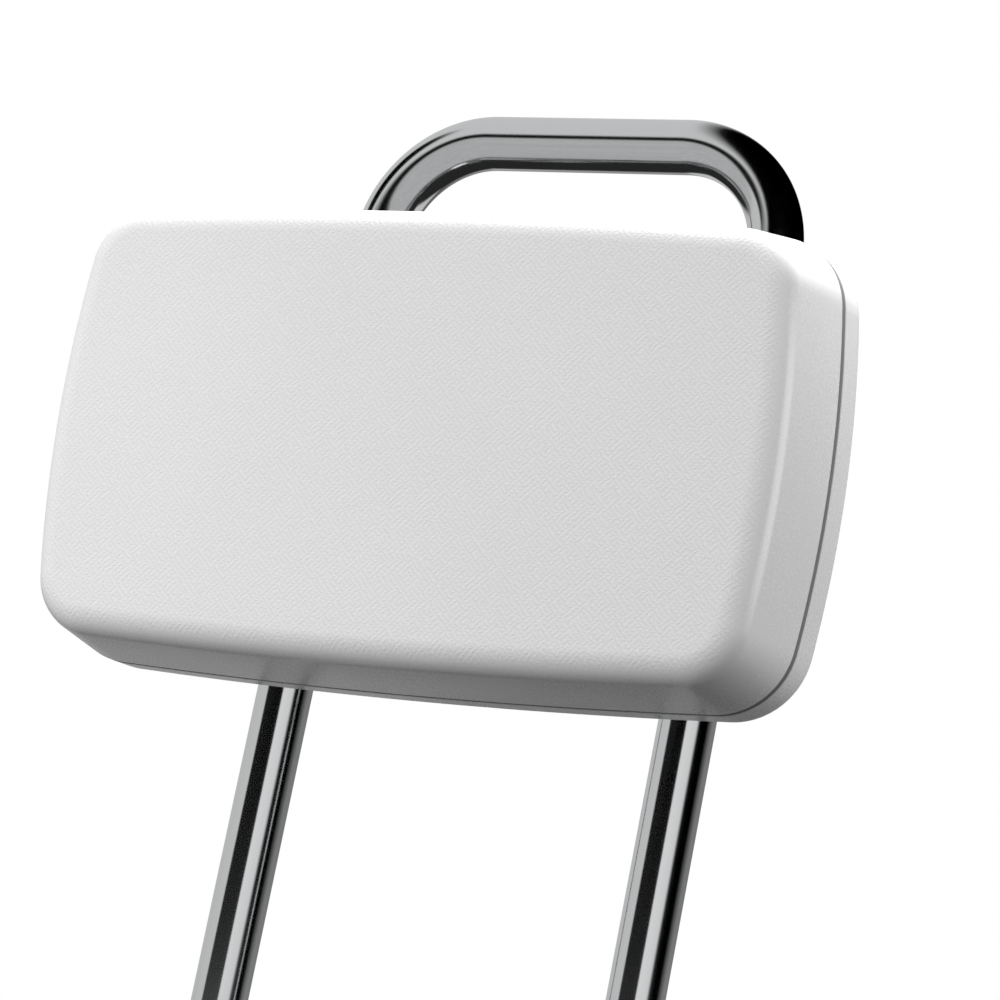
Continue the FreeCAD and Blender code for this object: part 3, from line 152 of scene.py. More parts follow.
class CoilSettings(bpy.types.PropertyGroup):
    wires: IntProperty(name="Wires", default=10, description="Turns of wire side by side")
    thick: length("Thickness", 0.0085, "Winding, outside to inside")
    corner: length("Corner", 0.0285, "Corner radius round the winding's outside")


class FinishSettings(bpy.types.PropertyGroup):
    white: colour("White plastic", (0.80, 0.80, 0.80), "Colour of the head's shells")
    chrome: colour("Chrome", (0.56, 0.565, 0.57), "Reflection of the chrome")
    seam: colour("Gasket", (0.15, 0.15, 0.152), "Colour of the seam gasket")
    paint: colour("Base paint", (0.12, 0.125, 0.13), "Colour of the base plate")
    grain_pitch: length("Grain pitch", 0.0026, "From row to row of the front's moulded grain")
    grain_depth: length("Grain depth", 0.00010, "Height of the front's moulded grain")


class StageSettings(bpy.types.PropertyGroup):
    azimuth: angle("Azimuth", 28.409, "Camera to the right of the front")
    elevation: angle("Elevation", -14.397, "Camera above the horizon")
    roll: angle("Roll", 11.377, "Turn of the camera about its line of sight")
    distance: length("Distance", 2.2297, "Camera to the point it looks at")
    aim_right: length("Aim right", 0.03082, "Aim point to the right of the head's middle, in the picture")
    aim_up: length("Aim up", -0.02394, "Aim point above the head's middle, in the picture")
    lens: FloatProperty(name="Lens", default=145.85, description="Focal length in millimetres")
    sky: FloatProperty(name="Sky", default=0.96, description="Strength of the soft light from all round")
    sky_lean: FloatVectorProperty(
        name="Sky lean",
        default=(0.14, 0.0, 0.2),
        subtype="XYZ",
        description="How the sky brightens along each axis",
    )
    bounce: FloatProperty(name="Bounce", default=0.12, description="Strength of the light from the floor")
    key: power("Key", 9.0, "Power of the large light at the front left")
    rim: power("Rim", 5.0, "Power of the light at the right rear")
    top: power("Top", 34.0, "Power of the light over the head")
    strip: power("Strip", 1.9, "Power of the strip at the right that glints on the front shell's edge")
    floor: colour("Floor", (0.62, 0.62, 0.62), "Colour of the floor")


# ---------------------------------------------------------------- shapes


def round_corners(corners, radii, steps=8, closed=False):
    """A profile through the corners with arcs at them.

    An arc's centre lies on the corner's bisector at radius / sin(half angle). Its points sweep evenly from
    the first touching point to the second, each a blend of the two radii weighted by the sines of the angle
    left and gone.
    """
    corners = np.asarray(corners, float)
    count = len(corners)
    runs = []
    for k, (corner, radius) in enumerate(zip(corners, radii)):
        if radius == 0 or (not closed and k in (0, count - 1)):
            runs.append(corner[None])
            continue
        back, on = corners[k - 1] - corner, corners[(k + 1) % count] - corner
        back, on = back / np.linalg.norm(back), on / np.linalg.norm(on)
        half = math.acos(np.clip(back @ on, -1, 1)) / 2
        bisector = (back + on) / np.linalg.norm(back + on)
        centre = corner + bisector * radius / math.sin(half)
        reach = radius / math.tan(half)
        first, last = corner + back * reach - centre, corner + on * reach - centre
        sweep = math.pi - 2 * half
        share = np.linspace(0, 1, steps + 1)[:, None]
        arc = np.sin((1 - share) * sweep) * first + np.sin(share * sweep) * last
        runs.append(centre + arc / math.sin(sweep))
    return np.concatenate(runs)


def grid_faces(rings, around, ring_closed, first_pole, last_pole):
    """Quads between neighbouring rings, and triangles from the first and last ring to their poles.

    Point j of ring i has the number i * around + j; the poles' numbers follow the rings'.
    """
    across = np.arange(around)
    beside = (across + 1) % around
    starts = np.arange(rings if ring_closed else rings - 1)[:, None] * around
    onward = (starts + around) % (rings * around)
    quads = np.stack((starts + across, starts + beside, onward + beside, onward + across), -1)
    faces = quads.reshape(-1, 4).tolist()
    pole = rings * around
    if first_pole:
        faces += np.stack((beside, across, np.full(around, pole)), -1).tolist()
        pole += 1
    if last_pole:
        end = (rings - 1) * around
        faces += np.stack((end + across, end + beside, np.full(around, pole)), -1).tolist()
    return faces


def new_piece(name, rings, body, material, ring_closed=False, poles=(), values=None, sharp=35):
    """A mesh of closed rings of points, joined ring to ring, that rides on a CAD body.

    rings is an array of rings by points by three. poles are the closing points before the first ring and
    after the last. values name point attributes, each one number for each ring and then for each pole. Edges
    that turn by more than the sharp angle, in degrees, are shaded sharp.
    """
    count, around, _ = rings.shape
    points = rings.reshape(-1, 3)
    if len(poles):
        points = np.concatenate((points, np.asarray(poles)))
    mesh = bpy.data.meshes.new(name)
    faces = grid_faces(count, around, ring_closed, len(poles) > 0, len(poles) > 1)
    mesh.from_pydata(points.tolist(), [], faces)
    for title, numbers in (values or {}).items():
        spread = np.concatenate((np.repeat(numbers[:count], around), numbers[count:]))
        layer = mesh.attributes.new(title, "FLOAT", "POINT")
        layer.data.foreach_set("value", spread.astype(np.float32))
    mesh.polygons.foreach_set("use_smooth", np.ones(len(mesh.polygons), bool))
    mesh.set_sharp_from_angle(angle=math.radians(sharp))
    mesh.materials.append(material)
    mesh.update()
    piece = bpy.data.objects.new(name, mesh)
    bpy.context.scene.collection.objects.link(piece)
    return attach(piece, body)


def bowed_outline(size, side_points=24, corner_points=20):
    """Points and outward directions round the head's outline, seen from the front as right and up.

    Four long side arcs and four corner arcs meet in tangents. Every point lies one radius out from its arc's
    centre, in its outward direction, and the directions make one full turn. The corner's centre is where
    circles about the side and top arcs' centres cross, each a corner radius short of its arc.
    """
    side_centre, top_centre = size.side_arc - size.width / 2, size.top_arc - size.height / 2
    side_reach, top_reach = size.side_arc - size.corner, size.top_arc - size.corner
    apart = math.hypot(side_centre, top_centre)
    along = (side_reach**2 - top_reach**2 + apart**2) / (2 * apart)
    off = math.sqrt(side_reach**2 - along**2)
    step = np.array((side_centre, -top_centre)) / apart
    corner = np.array((-side_centre, 0)) + step * along + np.array((-step[1], step[0])) * off
    rise = math.atan2(corner[1], corner[0] + side_centre)
    lean = math.atan2(corner[0], corner[1] + top_centre)
    side = np.linspace(0, rise, side_points, endpoint=False)
    bend = np.linspace(rise, math.pi / 2 - lean, corner_points, endpoint=False)
    top = np.linspace(math.pi / 2 - lean, math.pi / 2, side_points, endpoint=False)
    turn = np.concatenate((side, bend, top))
    out = np.stack((np.cos(turn), np.sin(turn)), -1)
    parts = (
        np.array((-side_centre, 0)) + out[:side_points] * size.side_arc,
        corner + out[side_points : side_points + corner_points] * size.corner,
        np.array((0, -top_centre)) + out[side_points + corner_points :] * size.top_arc,
    )
    return mirror_quarter(np.concatenate(parts), out, (0, size.height / 2))


def mirror_quarter(points, out, end):
    """A full outline from its first quarter, which runs from the right-hand end to short of the top one."""
    quarter, outward = np.vstack((points, end)), np.vstack((out, (0, 1)))
    half = np.vstack((quarter, (quarter[-2::-1] * (-1, 1))))
    half_out = np.vstack((outward, (outward[-2::-1] * (-1, 1))))
    whole = np.vstack((half, (half[-2:0:-1] * (1, -1))))
    whole_out = np.vstack((half_out, (half_out[-2:0:-1] * (1, -1))))
    return whole, whole_out


def rounded_outline(width, height, corner, corner_points=16):
    """Points and outward directions round a rectangle whose corners are quarter circles."""
    turn = np.linspace(0, math.pi / 2, corner_points)
    out = np.stack((np.cos(turn), np.sin(turn)), -1)
    bend = np.array((width / 2 - corner, height / 2 - corner)) + out * corner
    points = np.vstack(((width / 2, 0), bend))
    directions = np.vstack(((1, 0), out))
    return mirror_quarter(points, directions, (0, height / 2))


def carried(outline, profile):
    """A profile carried round an outline, in the head's axes.

    The profile holds pairs of inset and depth: a ring lies the inset inside the outline along its outward
    directions, and the depth behind the seam.
    """
    points, out = outline
    flat = points[None] - out[None] * profile[:, 0, None, None]
    depth = np.broadcast_to(profile[:, 1, None], flat.shape[:2])
    return np.stack((flat[..., 0], depth, flat[..., 1]), -1)


def turned(profile, around):
    """A profile of radius and height turned about the Z axis: a ring is its radius times cosine and sine."""
    turn = np.linspace(0, 2 * math.pi, around, endpoint=False)
    radius = profile[:, 0, None]
    height = np.broadcast_to(profile[:, 1, None], (len(profile), around))
    return np.stack((radius * np.cos(turn), radius * np.sin(turn), height), -1)


# ---------------------------------------------------------------- node helpers


def fill(tree, socket, value):
    """Gives the socket its plain value, or links it to the socket that feeds it."""
    if isinstance(value, bpy.types.NodeSocket):
        tree.links.new(value, socket)
    else:
        socket.default_value = value


def node(tree, kind, settings=None, **inputs):
    """Adds a shader node with its settings. An input i0, i1 or i2 goes by its number, and others by name."""
    made = tree.nodes.new(f"ShaderNode{kind}")
    for key, value in (settings or {}).items():
        setattr(made, key, value)
    for key, value in inputs.items():
        numbered = key in ("i0", "i1", "i2")
        fill(tree, made.inputs[int(key[1]) if numbered else key.replace("_", " ")], value)
    return made


def math_node(tree, operation, first, second=0.0, third=0.0):
    return node(tree, "Math", {"operation": operation}, i0=first, i1=second, i2=third).outputs[0]


def span(tree, value, low, high, to_low=0.0, to_high=1.0, smooth=False):
    """Maps the value from one span to another and holds it there."""
    kind = {"interpolation_type": "SMOOTHSTEP"} if smooth else {}
    ends = {"From_Min": low, "From_Max": high, "To_Min": to_low, "To_Max": to_high}
    return node(tree, "MapRange", kind, Value=value, **ends).outputs["Result"]


def blend_colours(tree, share, first, second):
    made = tree.nodes.new("ShaderNodeMix")
    made.data_type = "RGBA"
    sockets = {socket.identifier: socket for socket in made.inputs}
    fill(tree, sockets["Factor_Float"], share)
    for title, value in (("A_Color", first), ("B_Color", second)):
        fill(tree, sockets[title], value if isinstance(value, bpy.types.NodeSocket) else (*value, 1))
    return next(socket for socket in made.outputs if socket.identifier == "Result_Color")


def noise(tree, place, scale, detail):
    return node(tree, "TexNoise", Vector=place, Scale=scale, Detail=detail).outputs[0]


def product(tree, first, second):
    return math_node(tree, "MULTIPLY", first, second)


def new_group(name, output, **inputs):
    """A shader node group with a Vector input, these inputs at their defaults, and one number as its output.

    Returns its tree, the sockets that its inputs give, by name, and the socket of its output.
    """
    tree = bpy.data.node_groups.new(name, "ShaderNodeTree")
    tree.interface.new_socket("Vector", in_out="INPUT", socket_type="NodeSocketVector")
    for title, value in inputs.items():
        kind = "NodeSocketVector" if isinstance(value, tuple) else "NodeSocketFloat"
        tree.interface.new_socket(title, in_out="INPUT", socket_type=kind).default_value = value
    tree.interface.new_socket(output, in_out="OUTPUT", socket_type="NodeSocketFloat")
    given, result = tree.nodes.new("NodeGroupInput"), tree.nodes.new("NodeGroupOutput")
    return tree, given.outputs, result.inputs[output]


def moulded_grain_group():
    """Moulded grain: short beads in rows that lean one way in some patches and the other way in the rest.

    A row is a sine of the distance across its lean, bent by noise. The product of both leans' sines parts the
    rows into beads. Noise chooses the lean of each patch, with a narrow blend at the patches' borders.
    """
    tree, given, result = new_group("Moulded Grain", "Height", Pitch=0.0026)
    place = node(tree, "SeparateXYZ", i0=given["Vector"])
    diagonal = math_node(tree, "DIVIDE", 2 * math.pi * math.sqrt(0.5), given["Pitch"])
    patches, bending, border, beading = 0.6, 9.0, (0.42, 0.58), 0.8
    patch_scale = math_node(tree, "DIVIDE", patches, given["Pitch"])
    bent = product(tree, noise(tree, given["Vector"], patch_scale, 2.0), bending)
    rows = []
    for lean in (1.0, -1.0):
        across = math_node(tree, "MULTIPLY_ADD", place.outputs["X"], lean, place.outputs["Z"])
        phase = math_node(tree, "MULTIPLY_ADD", across, diagonal, bent)
        rows.append(math_node(tree, "SINE", phase))
    choice = span(tree, noise(tree, given["Vector"], patch_scale, 0.0), *border)
    first = product(tree, rows[0], choice)
    second = product(tree, rows[1], math_node(tree, "SUBTRACT", 1.0, choice))
    beads = product(tree, product(tree, *rows), beading)
    height = math_node(tree, "ADD", math_node(tree, "ADD", first, second), beads)
    tree.links.new(math_node(tree, "MULTIPLY_ADD", height, 0.5, 0.5), result)
    return tree


def speckle_group():
    """The mean of fine and broad noise, for small changes of tone and gloss."""
    tree, given, result = new_group("Speckle", "Value", Fine=900.0, Broad=12.0)
    fine = noise(tree, given["Vector"], given["Fine"], 3.0)
    broad = noise(tree, given["Vector"], given["Broad"], 4.0)
    tree.links.new(product(tree, math_node(tree, "ADD", fine, broad), 0.5), result)
    return tree


def edge_wear_group():
    """Where edges stand proud: the shape's pointedness above a start, broken up by noise."""
    tree, given, result = new_group("Edge Wear", "Mask", Start=0.54, Scale=220.0)
    point = node(tree, "NewGeometry").outputs["Pointiness"]
    end = math_node(tree, "ADD", given["Start"], 0.08)
    edge = span(tree, point, given["Start"], end)
    broken = span(tree, noise(tree, given["Vector"], given["Scale"], 5.0), 0.42, 0.62)
    tree.links.new(product(tree, edge, broken), result)
    return tree


def dust_group():
    """Dust on faces that look up: the normal's upward share, thinned by noise and scaled by the amount."""
    tree, given, result = new_group("Dust", "Mask", Amount=0.3)
    normal = node(tree, "SeparateXYZ", i0=node(tree, "NewGeometry").outputs["Normal"])
    upward = span(tree, normal.outputs["Z"], 0.35, 1.0)
    patchy = span(tree, noise(tree, given["Vector"], 34.0, 6.0), 0.35, 0.7)
    tree.links.new(product(tree, product(tree, upward, patchy), given["Amount"]), result)
    return tree


def machining_group():
    """Fine straight lines from rolling, turning or brushing: noise stretched unlike along its axes."""
    tree, given, result = new_group("Machining Lines", "Value", Stretch=(1.0, 1.0, 1.0), Scale=60.0)
    stretched = node(tree, "VectorMath", {"operation": "MULTIPLY"}, i0=given["Vector"], i1=given["Stretch"])
    tree.links.new(noise(tree, stretched.outputs[0], given["Scale"], 4.0), result)
    return tree


GROUPS = {
    "Moulded Grain": moulded_grain_group,
    "Speckle": speckle_group,
    "Edge Wear": edge_wear_group,
    "Dust": dust_group,
    "Machining Lines": machining_group,
}


def group(tree, name, **inputs):
    """Places a shared node group, which is built when it is first asked for."""
    made = tree.nodes.new("ShaderNodeGroup")
    made.node_tree = bpy.data.node_groups.get(name) or GROUPS[name]()
    for key, value in inputs.items():
        fill(tree, made.inputs[key], value)
    return made.outputs[0]


# ---------------------------------------------------------------- finishes

# The part of a noise's values that a change of tone runs over, and the wider part for a change of gloss.
TONE_NOISE = (0.35, 0.65)
GLOSS_NOISE = (0.3, 0.7)


def made_once(build):
    """A finish that is built when its name is first asked for, and found again after that."""

    def finish(name, *values, **named):
        return bpy.data.materials.get(name) or build(name, *values, **named)

    return finish


def new_material(name, **sockets):
    """A material whose Principled BSDF has these plain values. Returns it with its tree, shader and place."""
    material = bpy.data.materials.new(name)
    material.use_nodes = True
    tree = material.node_tree
    shader = tree.nodes["Principled BSDF"]
    for key, value in sockets.items():
        shader.inputs[key.replace("_", " ")].default_value = value
    place = node(tree, "TexCoord").outputs["Object"]
    return material, tree, shader, place


def feed(tree, shader, **sockets):
    """Links each value that changes over the surface to the shader's socket of that name."""
    for key, value in sockets.items():
        tree.links.new(value, shader.inputs[key.replace("_", " ")])


def bump(tree, shader, height, distance):
    """Raises the surface by the height times the distance, in metres, as the shader sees it."""
    made = node(tree, "Bump", Height=height, Distance=distance, Strength=1.0)
    tree.links.new(made.outputs[0], shader.inputs["Normal"])


def paler(tone, factor, lift=0.0):
    return [min(c * factor + lift, 1) for c in tone]


def tinted(tree, share, tone, low, high, lift=0.0):
    """The tone times the low factor at a share of nought, and times the high one plus the lift at one."""
    return blend_colours(tree, share, [c * low for c in tone], paler(tone, high, lift))


@made_once
def white_plastic(name, white, grain=None):
    """Moulded white plastic with faint mottling and fine scuffs, and the moulded grain where it is given. On
    the grain the colour is paler on the ridges and darker between them: painted highlight and painted shade.
    """
    material, tree, shader, place = new_material(name, IOR=1.46)
    speckle = group(tree, "Speckle", Vector=place, Fine=700.0, Broad=9.0)
    tone = span(tree, speckle, *TONE_NOISE)
    rough = span(tree, speckle, *TONE_NOISE, 0.24, 0.30)
    height = noise(tree, place, 1400.0, 2.0)
    dark, pale, depth = 0.985, 1.012, 0.00001
    if grain:
        # On the grain the tone spans wider, from darker to paler: painted shade and painted highlight on the
        # grain.
        dark, pale, depth = 0.96, 1.045, grain.grain_depth
        mask = node(tree, "Attribute", {"attribute_name": "grain"}).outputs["Fac"]
        beads = group(tree, "Moulded Grain", Vector=place, Pitch=grain.grain_pitch)
        ridge_height_and_painted_shade = product(tree, beads, mask)
        # The ridges' height also lightens the colour: painted highlight on the ridges and painted shade
        # between them, added to the speckle's mottling.
        tone = math_node(tree, "MULTIPLY_ADD", tone, 0.4, product(tree, ridge_height_and_painted_shade, 0.6))
        rough = math_node(tree, "ADD", rough, product(tree, mask, 0.22))
        height = math_node(tree, "ADD", ridge_height_and_painted_shade, product(tree, height, 0.06))
    feed(tree, shader, Base_Color=tinted(tree, tone, white, dark, pale), Roughness=rough)
    bump(tree, shader, height, depth)
    return material


@made_once
def chrome_finish(name, tone):
    """Polished chrome: clear reflection with a faint haze, fine pitting and slow changes of gloss."""
    material, tree, shader, place = new_material(name, Metallic=1.0)
    speckle = group(tree, "Speckle", Vector=place, Fine=1600.0, Broad=14.0)
    plain = tinted(tree, span(tree, speckle, *TONE_NOISE), tone, 0.93, 1.05)
    feed(tree, shader, Base_Color=plain, Roughness=span(tree, speckle, *GLOSS_NOISE, 0.03, 0.085))
    bump(tree, shader, noise(tree, place, 2200.0, 1.0), 0.0000035)
    return material


@made_once
def rubber_finish(name, tone, rough=0.62):
    """Matte rubber: fine pores and a little bloom of paler tone."""
    material, tree, shader, place = new_material(name, IOR=1.5)
    speckle = group(tree, "Speckle", Vector=place, Fine=1500.0, Broad=40.0)
    bloomed = tinted(tree, span(tree, speckle, 0.4, 0.66), tone, 1.0, 1.35, lift=0.01)
    feed(tree, shader, Base_Color=bloomed, Roughness=span(tree, speckle, *GLOSS_NOISE, rough, rough + 0.15))
    bump(tree, shader, speckle, 0.00004)
    return material


@made_once
def painted_finish(name, tone, rough=0.45, bare=(0.35, 0.35, 0.36), dusty=(0.5, 0.49, 0.47)):
    """Powder coat: an orange-peel skin, edges rubbed towards bare metal and dust on top."""
    material, tree, shader, place = new_material(name, IOR=1.5)
    skin = node(tree, "TexVoronoi", {"feature": "SMOOTH_F1"}, Vector=place, Scale=520.0, Smoothness=1.0)
    speckle = group(tree, "Speckle", Vector=place, Fine=900.0, Broad=11.0)
    wear = group(tree, "Edge Wear", Vector=place)
    dust = group(tree, "Dust", Vector=place, Amount=0.22)
    plain = tinted(tree, span(tree, speckle, *TONE_NOISE), tone, 0.88, 1.12)
    rubbed = blend_colours(tree, wear, plain, bare)
    gloss = span(tree, speckle, *GLOSS_NOISE, rough - 0.06, rough + 0.12)
    feed(tree, shader, Base_Color=blend_colours(tree, dust, rubbed, dusty), Roughness=gloss)
    bump(tree, shader, skin.outputs["Distance"], 0.00006)
    return material


@made_once
def metal_finish(name, tone, rough, stretch, scale=60.0, depth=0.00001):
    """Bare or plated metal: lines along the way it was rolled, turned or brushed, with brighter edges."""
    material, tree, shader, place = new_material(name, Metallic=1.0)
    lines = group(tree, "Machining Lines", Vector=place, Stretch=stretch, Scale=scale)
    speckle = group(tree, "Speckle", Vector=place, Fine=700.0, Broad=30.0)
    wear = group(tree, "Edge Wear", Vector=place)
    plain = tinted(tree, span(tree, speckle, *GLOSS_NOISE), tone, 0.82, 1.1)
    gloss = span(tree, lines, *GLOSS_NOISE, rough - 0.08, rough + 0.12)
    feed(tree, shader, Base_Color=blend_colours(tree, wear, plain, paler(tone, 1.3)), Roughness=gloss)
    bump(tree, shader, lines, depth)
    return material


@made_once
def moulded_finish(name, tone, rough=0.4):
    """Small moulded plastic parts: an even skin with a fine spark finish and slight mottling."""
    material, tree, shader, place = new_material(name, IOR=1.49)
    speckle = group(tree, "Speckle", Vector=place, Fine=1800.0, Broad=60.0)
    wear = group(tree, "Edge Wear", Vector=place, Start=0.56)
    plain = tinted(tree, span(tree, speckle, *TONE_NOISE), tone, 0.9, 1.1)
    rubbed = blend_colours(tree, wear, plain, paler(tone, 1.5, 0.02))
    gloss = span(tree, speckle, *GLOSS_NOISE, rough - 0.06, rough + 0.1)
    feed(tree, shader, Base_Color=rubbed, Roughness=gloss)
    bump(tree, shader, speckle, 0.00002)
    return material


@made_once
def circuit_finish(name, mask=(0.012, 0.09, 0.035), track=(0.05, 0.26, 0.11)):
    """Green solder mask over copper: straight tracks that show through as paler, slightly raised lines."""
    material, tree, shader, place = new_material(name, IOR=1.52)
    upright = node(tree, "Mapping", Vector=place, Rotation=(math.radians(90), 0, 0)).outputs[0]
    tracks = node(
        tree,
        "TexBrick",
        {"offset": 0.5},
        Vector=upright,
        Color1=(0, 0, 0, 1),
        Color2=(0.35, 0.35, 0.35, 1),
        Mortar=(1, 1, 1, 1),
        Scale=110.0,
        Mortar_Size=0.035,
        Brick_Width=0.9,
        Row_Height=0.32,
    ).outputs["Color"]
    speckle = group(tree, "Speckle", Vector=place, Fine=1200.0, Broad=40.0)
    shade = product(tree, tracks, span(tree, speckle, *GLOSS_NOISE, 0.7, 1.0))
    gloss = span(tree, speckle, *GLOSS_NOISE, 0.22, 0.34)
    feed(tree, shader, Base_Color=blend_colours(tree, shade, mask, track), Roughness=gloss)
    bump(tree, shader, tracks, 0.00005)
    return material


@made_once
def winding_finish(name, dark=(0.42, 0.13, 0.045), pale=(0.72, 0.29, 0.12)):
    """Enamelled copper wire: warm metal under a clear coat, each turn a little different in tone."""
    material, tree, shader, place = new_material(name, Metallic=0.85, Coat_Weight=0.6, Coat_Roughness=0.15)
    turns = group(tree, "Machining Lines", Vector=place, Stretch=(0.05, 1.0, 0.05), Scale=900.0)
    warm = blend_colours(tree, span(tree, turns, *GLOSS_NOISE), dark, pale)
    feed(tree, shader, Base_Color=warm, Roughness=span(tree, turns, *GLOSS_NOISE, 0.22, 0.36))
    bump(tree, shader, turns, 0.00002)
    return material


def nylon():
    return moulded_finish("nylon", (0.72, 0.70, 0.64))


def brass():
    return metal_finish("brass", (0.62, 0.42, 0.17), rough=0.28, stretch=(1, 1, 30))


def finish_nodes(material, *names):
    """Gives CAD nodes this finish, in their objects' own material slots."""
    for name in names:
        for slot in frame["nodes"][name].material_slots:
            slot.material = material


# ---------------------------------------------------------------- pieces


class GATE_OT_frame_tube(bpy.types.Operator):
    """Bends the chrome tube of the frame"""

    bl_idname = "gate.frame_tube"
    bl_label = "Frame tube"

    def execute(self, context):
        """The tube's middle runs up the left leg, over and down the right one. A point on its skin is the
        middle plus the radius times cosine of the turn inwards in the frame's plane, and times its sine
        to the back. The inner skin runs back the other way and closes on the outer one at both feet.
        """
        tube = context.scene.gate_tube
        radius = tube.diameter / 2
        side, crown, foot = TUBE_HIGH.x - radius, TUBE_HIGH.z - radius, TUBE_LOW.z
        plane = (TUBE_LOW.y + TUBE_HIGH.y) / 2
        bend_x, bend_z = side - tube.bend, crown - tube.bend
        turn = np.linspace(0, math.pi / 2, tube.along + 1)
        bend = np.stack((-bend_x - tube.bend * np.cos(turn), bend_z + tube.bend * np.sin(turn)), -1)
        bend_in = np.stack((np.cos(turn), -np.sin(turn)), -1)
        heights = np.linspace(foot, bend_z, tube.up, endpoint=False)
        leg = np.stack((np.full(tube.up, -side), heights), -1)
        leg_in = np.tile((1.0, 0.0), (tube.up, 1))
        half, half_in = np.vstack((leg, bend)), np.vstack((leg_in, bend_in))
        middle = np.vstack((half, half[::-1] * (-1, 1)))
        inward = np.vstack((half_in, half_in[::-1] * (-1, 1)))
        turns = np.linspace(0, 2 * math.pi, tube.around, endpoint=False)
        skins = []
        for reach, way in ((radius, 1), (radius - tube.wall, -1)):
            flat = middle[:, None] + inward[:, None] * (np.cos(turns) * reach)[None, :, None]
            across = np.broadcast_to(plane + np.sin(turns) * reach, flat.shape[:2])
            skins.append(np.stack((flat[..., 0], across, flat[..., 1]), -1)[::way])
        material = chrome_finish("chrome_tube", context.scene.gate_finish.chrome)
        piece = new_piece("chrome_frame", np.vstack(skins), "frame", material, ring_closed=True)
        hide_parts("frame_tube")
        return {"FINISHED"}


class GATE_OT_front_shell(bpy.types.Operator):
    """Moulds the head's grained front shell"""

    bl_idname = "gate.front_shell"
    bl_label = "Front shell"

    def execute(self, context):
        """The outline drawn in along its outward directions. The profile of inset and depth leaves the front
        face in a wide arc, runs back along the draft, rounds the lip at the seam and returns along the inner
        wall. Inside the arc, rings of the flat face shrink in proportion to a pole at its middle. The grain
        covers the face and fades out on the arc.
        """
        size = context.scene.gate_head
        rim = -size.gap / 2
        slope = size.draft / (size.depth + rim)
        skins = []
        for inset, edge in ((0.0, size.edge), (size.wall, size.edge - size.wall)):
            face = inset - size.depth
            at_face = inset + slope * (size.depth - inset + rim)
            corners = [(at_face + edge * FACE_START, face), (at_face, face), (inset, rim)]
            skins.append(round_corners(corners, (0, edge, 0), steps=20))
        outside, inside = skins
        seam = [outside[-2], outside[-1], inside[-1], inside[-2]]
        lip = round_corners(seam, (0, size.lip, 0, 0), steps=5)[1:-1]
        rings = carried(bowed_outline(size), np.vstack((outside[:-1], lip, inside[-2::-1])))
        first, last = rings[0], rings[-1]
        shares = np.array([(share, 1, share) for share in FACE_SHARES])[:, None]
        rings = np.vstack((first * shares, rings, last * shares[::-1]))
        poles = np.array(((0, first[0, 1], 0), (0, last[0, 1], 0)))
        behind_face = np.concatenate((rings[:, 0, 1], poles[:, 1])) + size.depth
        full, none = (size.edge * share for share in GRAIN_FADE)
        grain = np.clip((none - behind_face) / (none - full), 0, 1)
        finish = context.scene.gate_finish
        white = white_plastic("grained_white", finish.white, grain=finish)
        rings, poles, values = to_gate(rings), to_gate(poles), {"grain": grain}
        piece = new_piece("front_shell_moulding", rings, "head", white, poles=poles, values=values)
        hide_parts("front_shell")
        return {"FINISHED"}


class GATE_OT_seam_gasket(bpy.types.Operator):
    """Lays the grey gasket in the seam"""

    bl_idname = "gate.seam_gasket"
    bl_label = "Seam gasket"

    def execute(self, context):
        """A flat strip with a rounded outer edge, carried round the head's outline and closed on itself."""
        size = context.scene.gate_head
        near, far, half = size.gasket_recess, size.gasket_recess + size.gasket_depth, size.gap / 2
        corners = [(near, -half), (near, half), (far, half), (far, -half)]
        rounding = half * 0.2
        profile = round_corners(corners, (rounding, rounding, 0, 0), steps=5, closed=True)
        material = rubber_finish("grey_gasket", context.scene.gate_finish.seam)
        rings = to_gate(carried(bowed_outline(size), profile))
        piece = new_piece("seam_strip", rings, "head", material, ring_closed=True)
        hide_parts("seam_gasket")
        return {"FINISHED"}


class GATE_OT_rear_shell(bpy.types.Operator):
    """Finishes the rear shell, its gland and the sounder behind it"""

    bl_idname = "gate.rear_shell"
    bl_label = "Rear shell"

    def execute(self, context):
        finish_nodes(white_plastic("smooth_white", context.scene.gate_finish.white), "rear_shell")
        black = moulded_finish("black_plastic", (0.03, 0.03, 0.032))
        finish_nodes(black, "cable_gland", "gland_nut", "sounder")
        return {"FINISHED"}


class GATE_OT_leg_collars(bpy.types.Operator):
    """Turns the chrome collars at the feet of the legs"""

    bl_idname = "gate.leg_collars"
    bl_label = "Leg collars"

    def execute(self, context):
        """A ring whose outer edge is one wide arc, turned about the leg's axis and closed under itself."""
        low, high = COLLAR_LOW, COLLAR_HIGH
        tall = high.z - low.z
        outside = (high.x - low.x) / 2
        inside = context.scene.gate_tube.diameter / 2 + COLLAR_CLEARANCE
        corners = [(inside, 0), (outside, 0), (outside, tall), (inside, tall)]
        outer_edge, foot_edge, bore_edge = tall * 0.67, 0.0004, 0.0006
        profile = round_corners(corners, (0, foot_edge, outer_edge, bore_edge), steps=12, closed=True)
        material = chrome_finish("chrome_tube", context.scene.gate_finish.chrome)
        for name, sign in (("left", -1), ("right", 1)):
            place = ((low.x + high.x) / 2 * sign, (low.y + high.y) / 2, low.z)
            rings = turned(profile[::-1], around=96) + place
            piece = new_piece(f"chrome_collar_{name}", rings, "frame", material, ring_closed=True)
            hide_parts(f"leg_collar_{name}")
        return {"FINISHED"}


class GATE_OT_base(bpy.types.Operator):
    """Finishes the base plate, its cover and what they hold"""

    bl_idname = "gate.base"
    bl_label = "Base"

    def execute(self, context):
        finish = context.scene.gate_finish
        finish_nodes(painted_finish("base_paint", finish.paint), "base_plate")
        finish_nodes(white_plastic("smooth_white", finish.white), "base_cover")
        steel = metal_finish("turned_steel", (0.5, 0.5, 0.5), rough=0.3, stretch=(1, 1, 40))
        finish_nodes(steel, "leg_spigot_left", "leg_spigot_right")
        finish_nodes(brass(), "cover_posts")
        return {"FINISHED"}


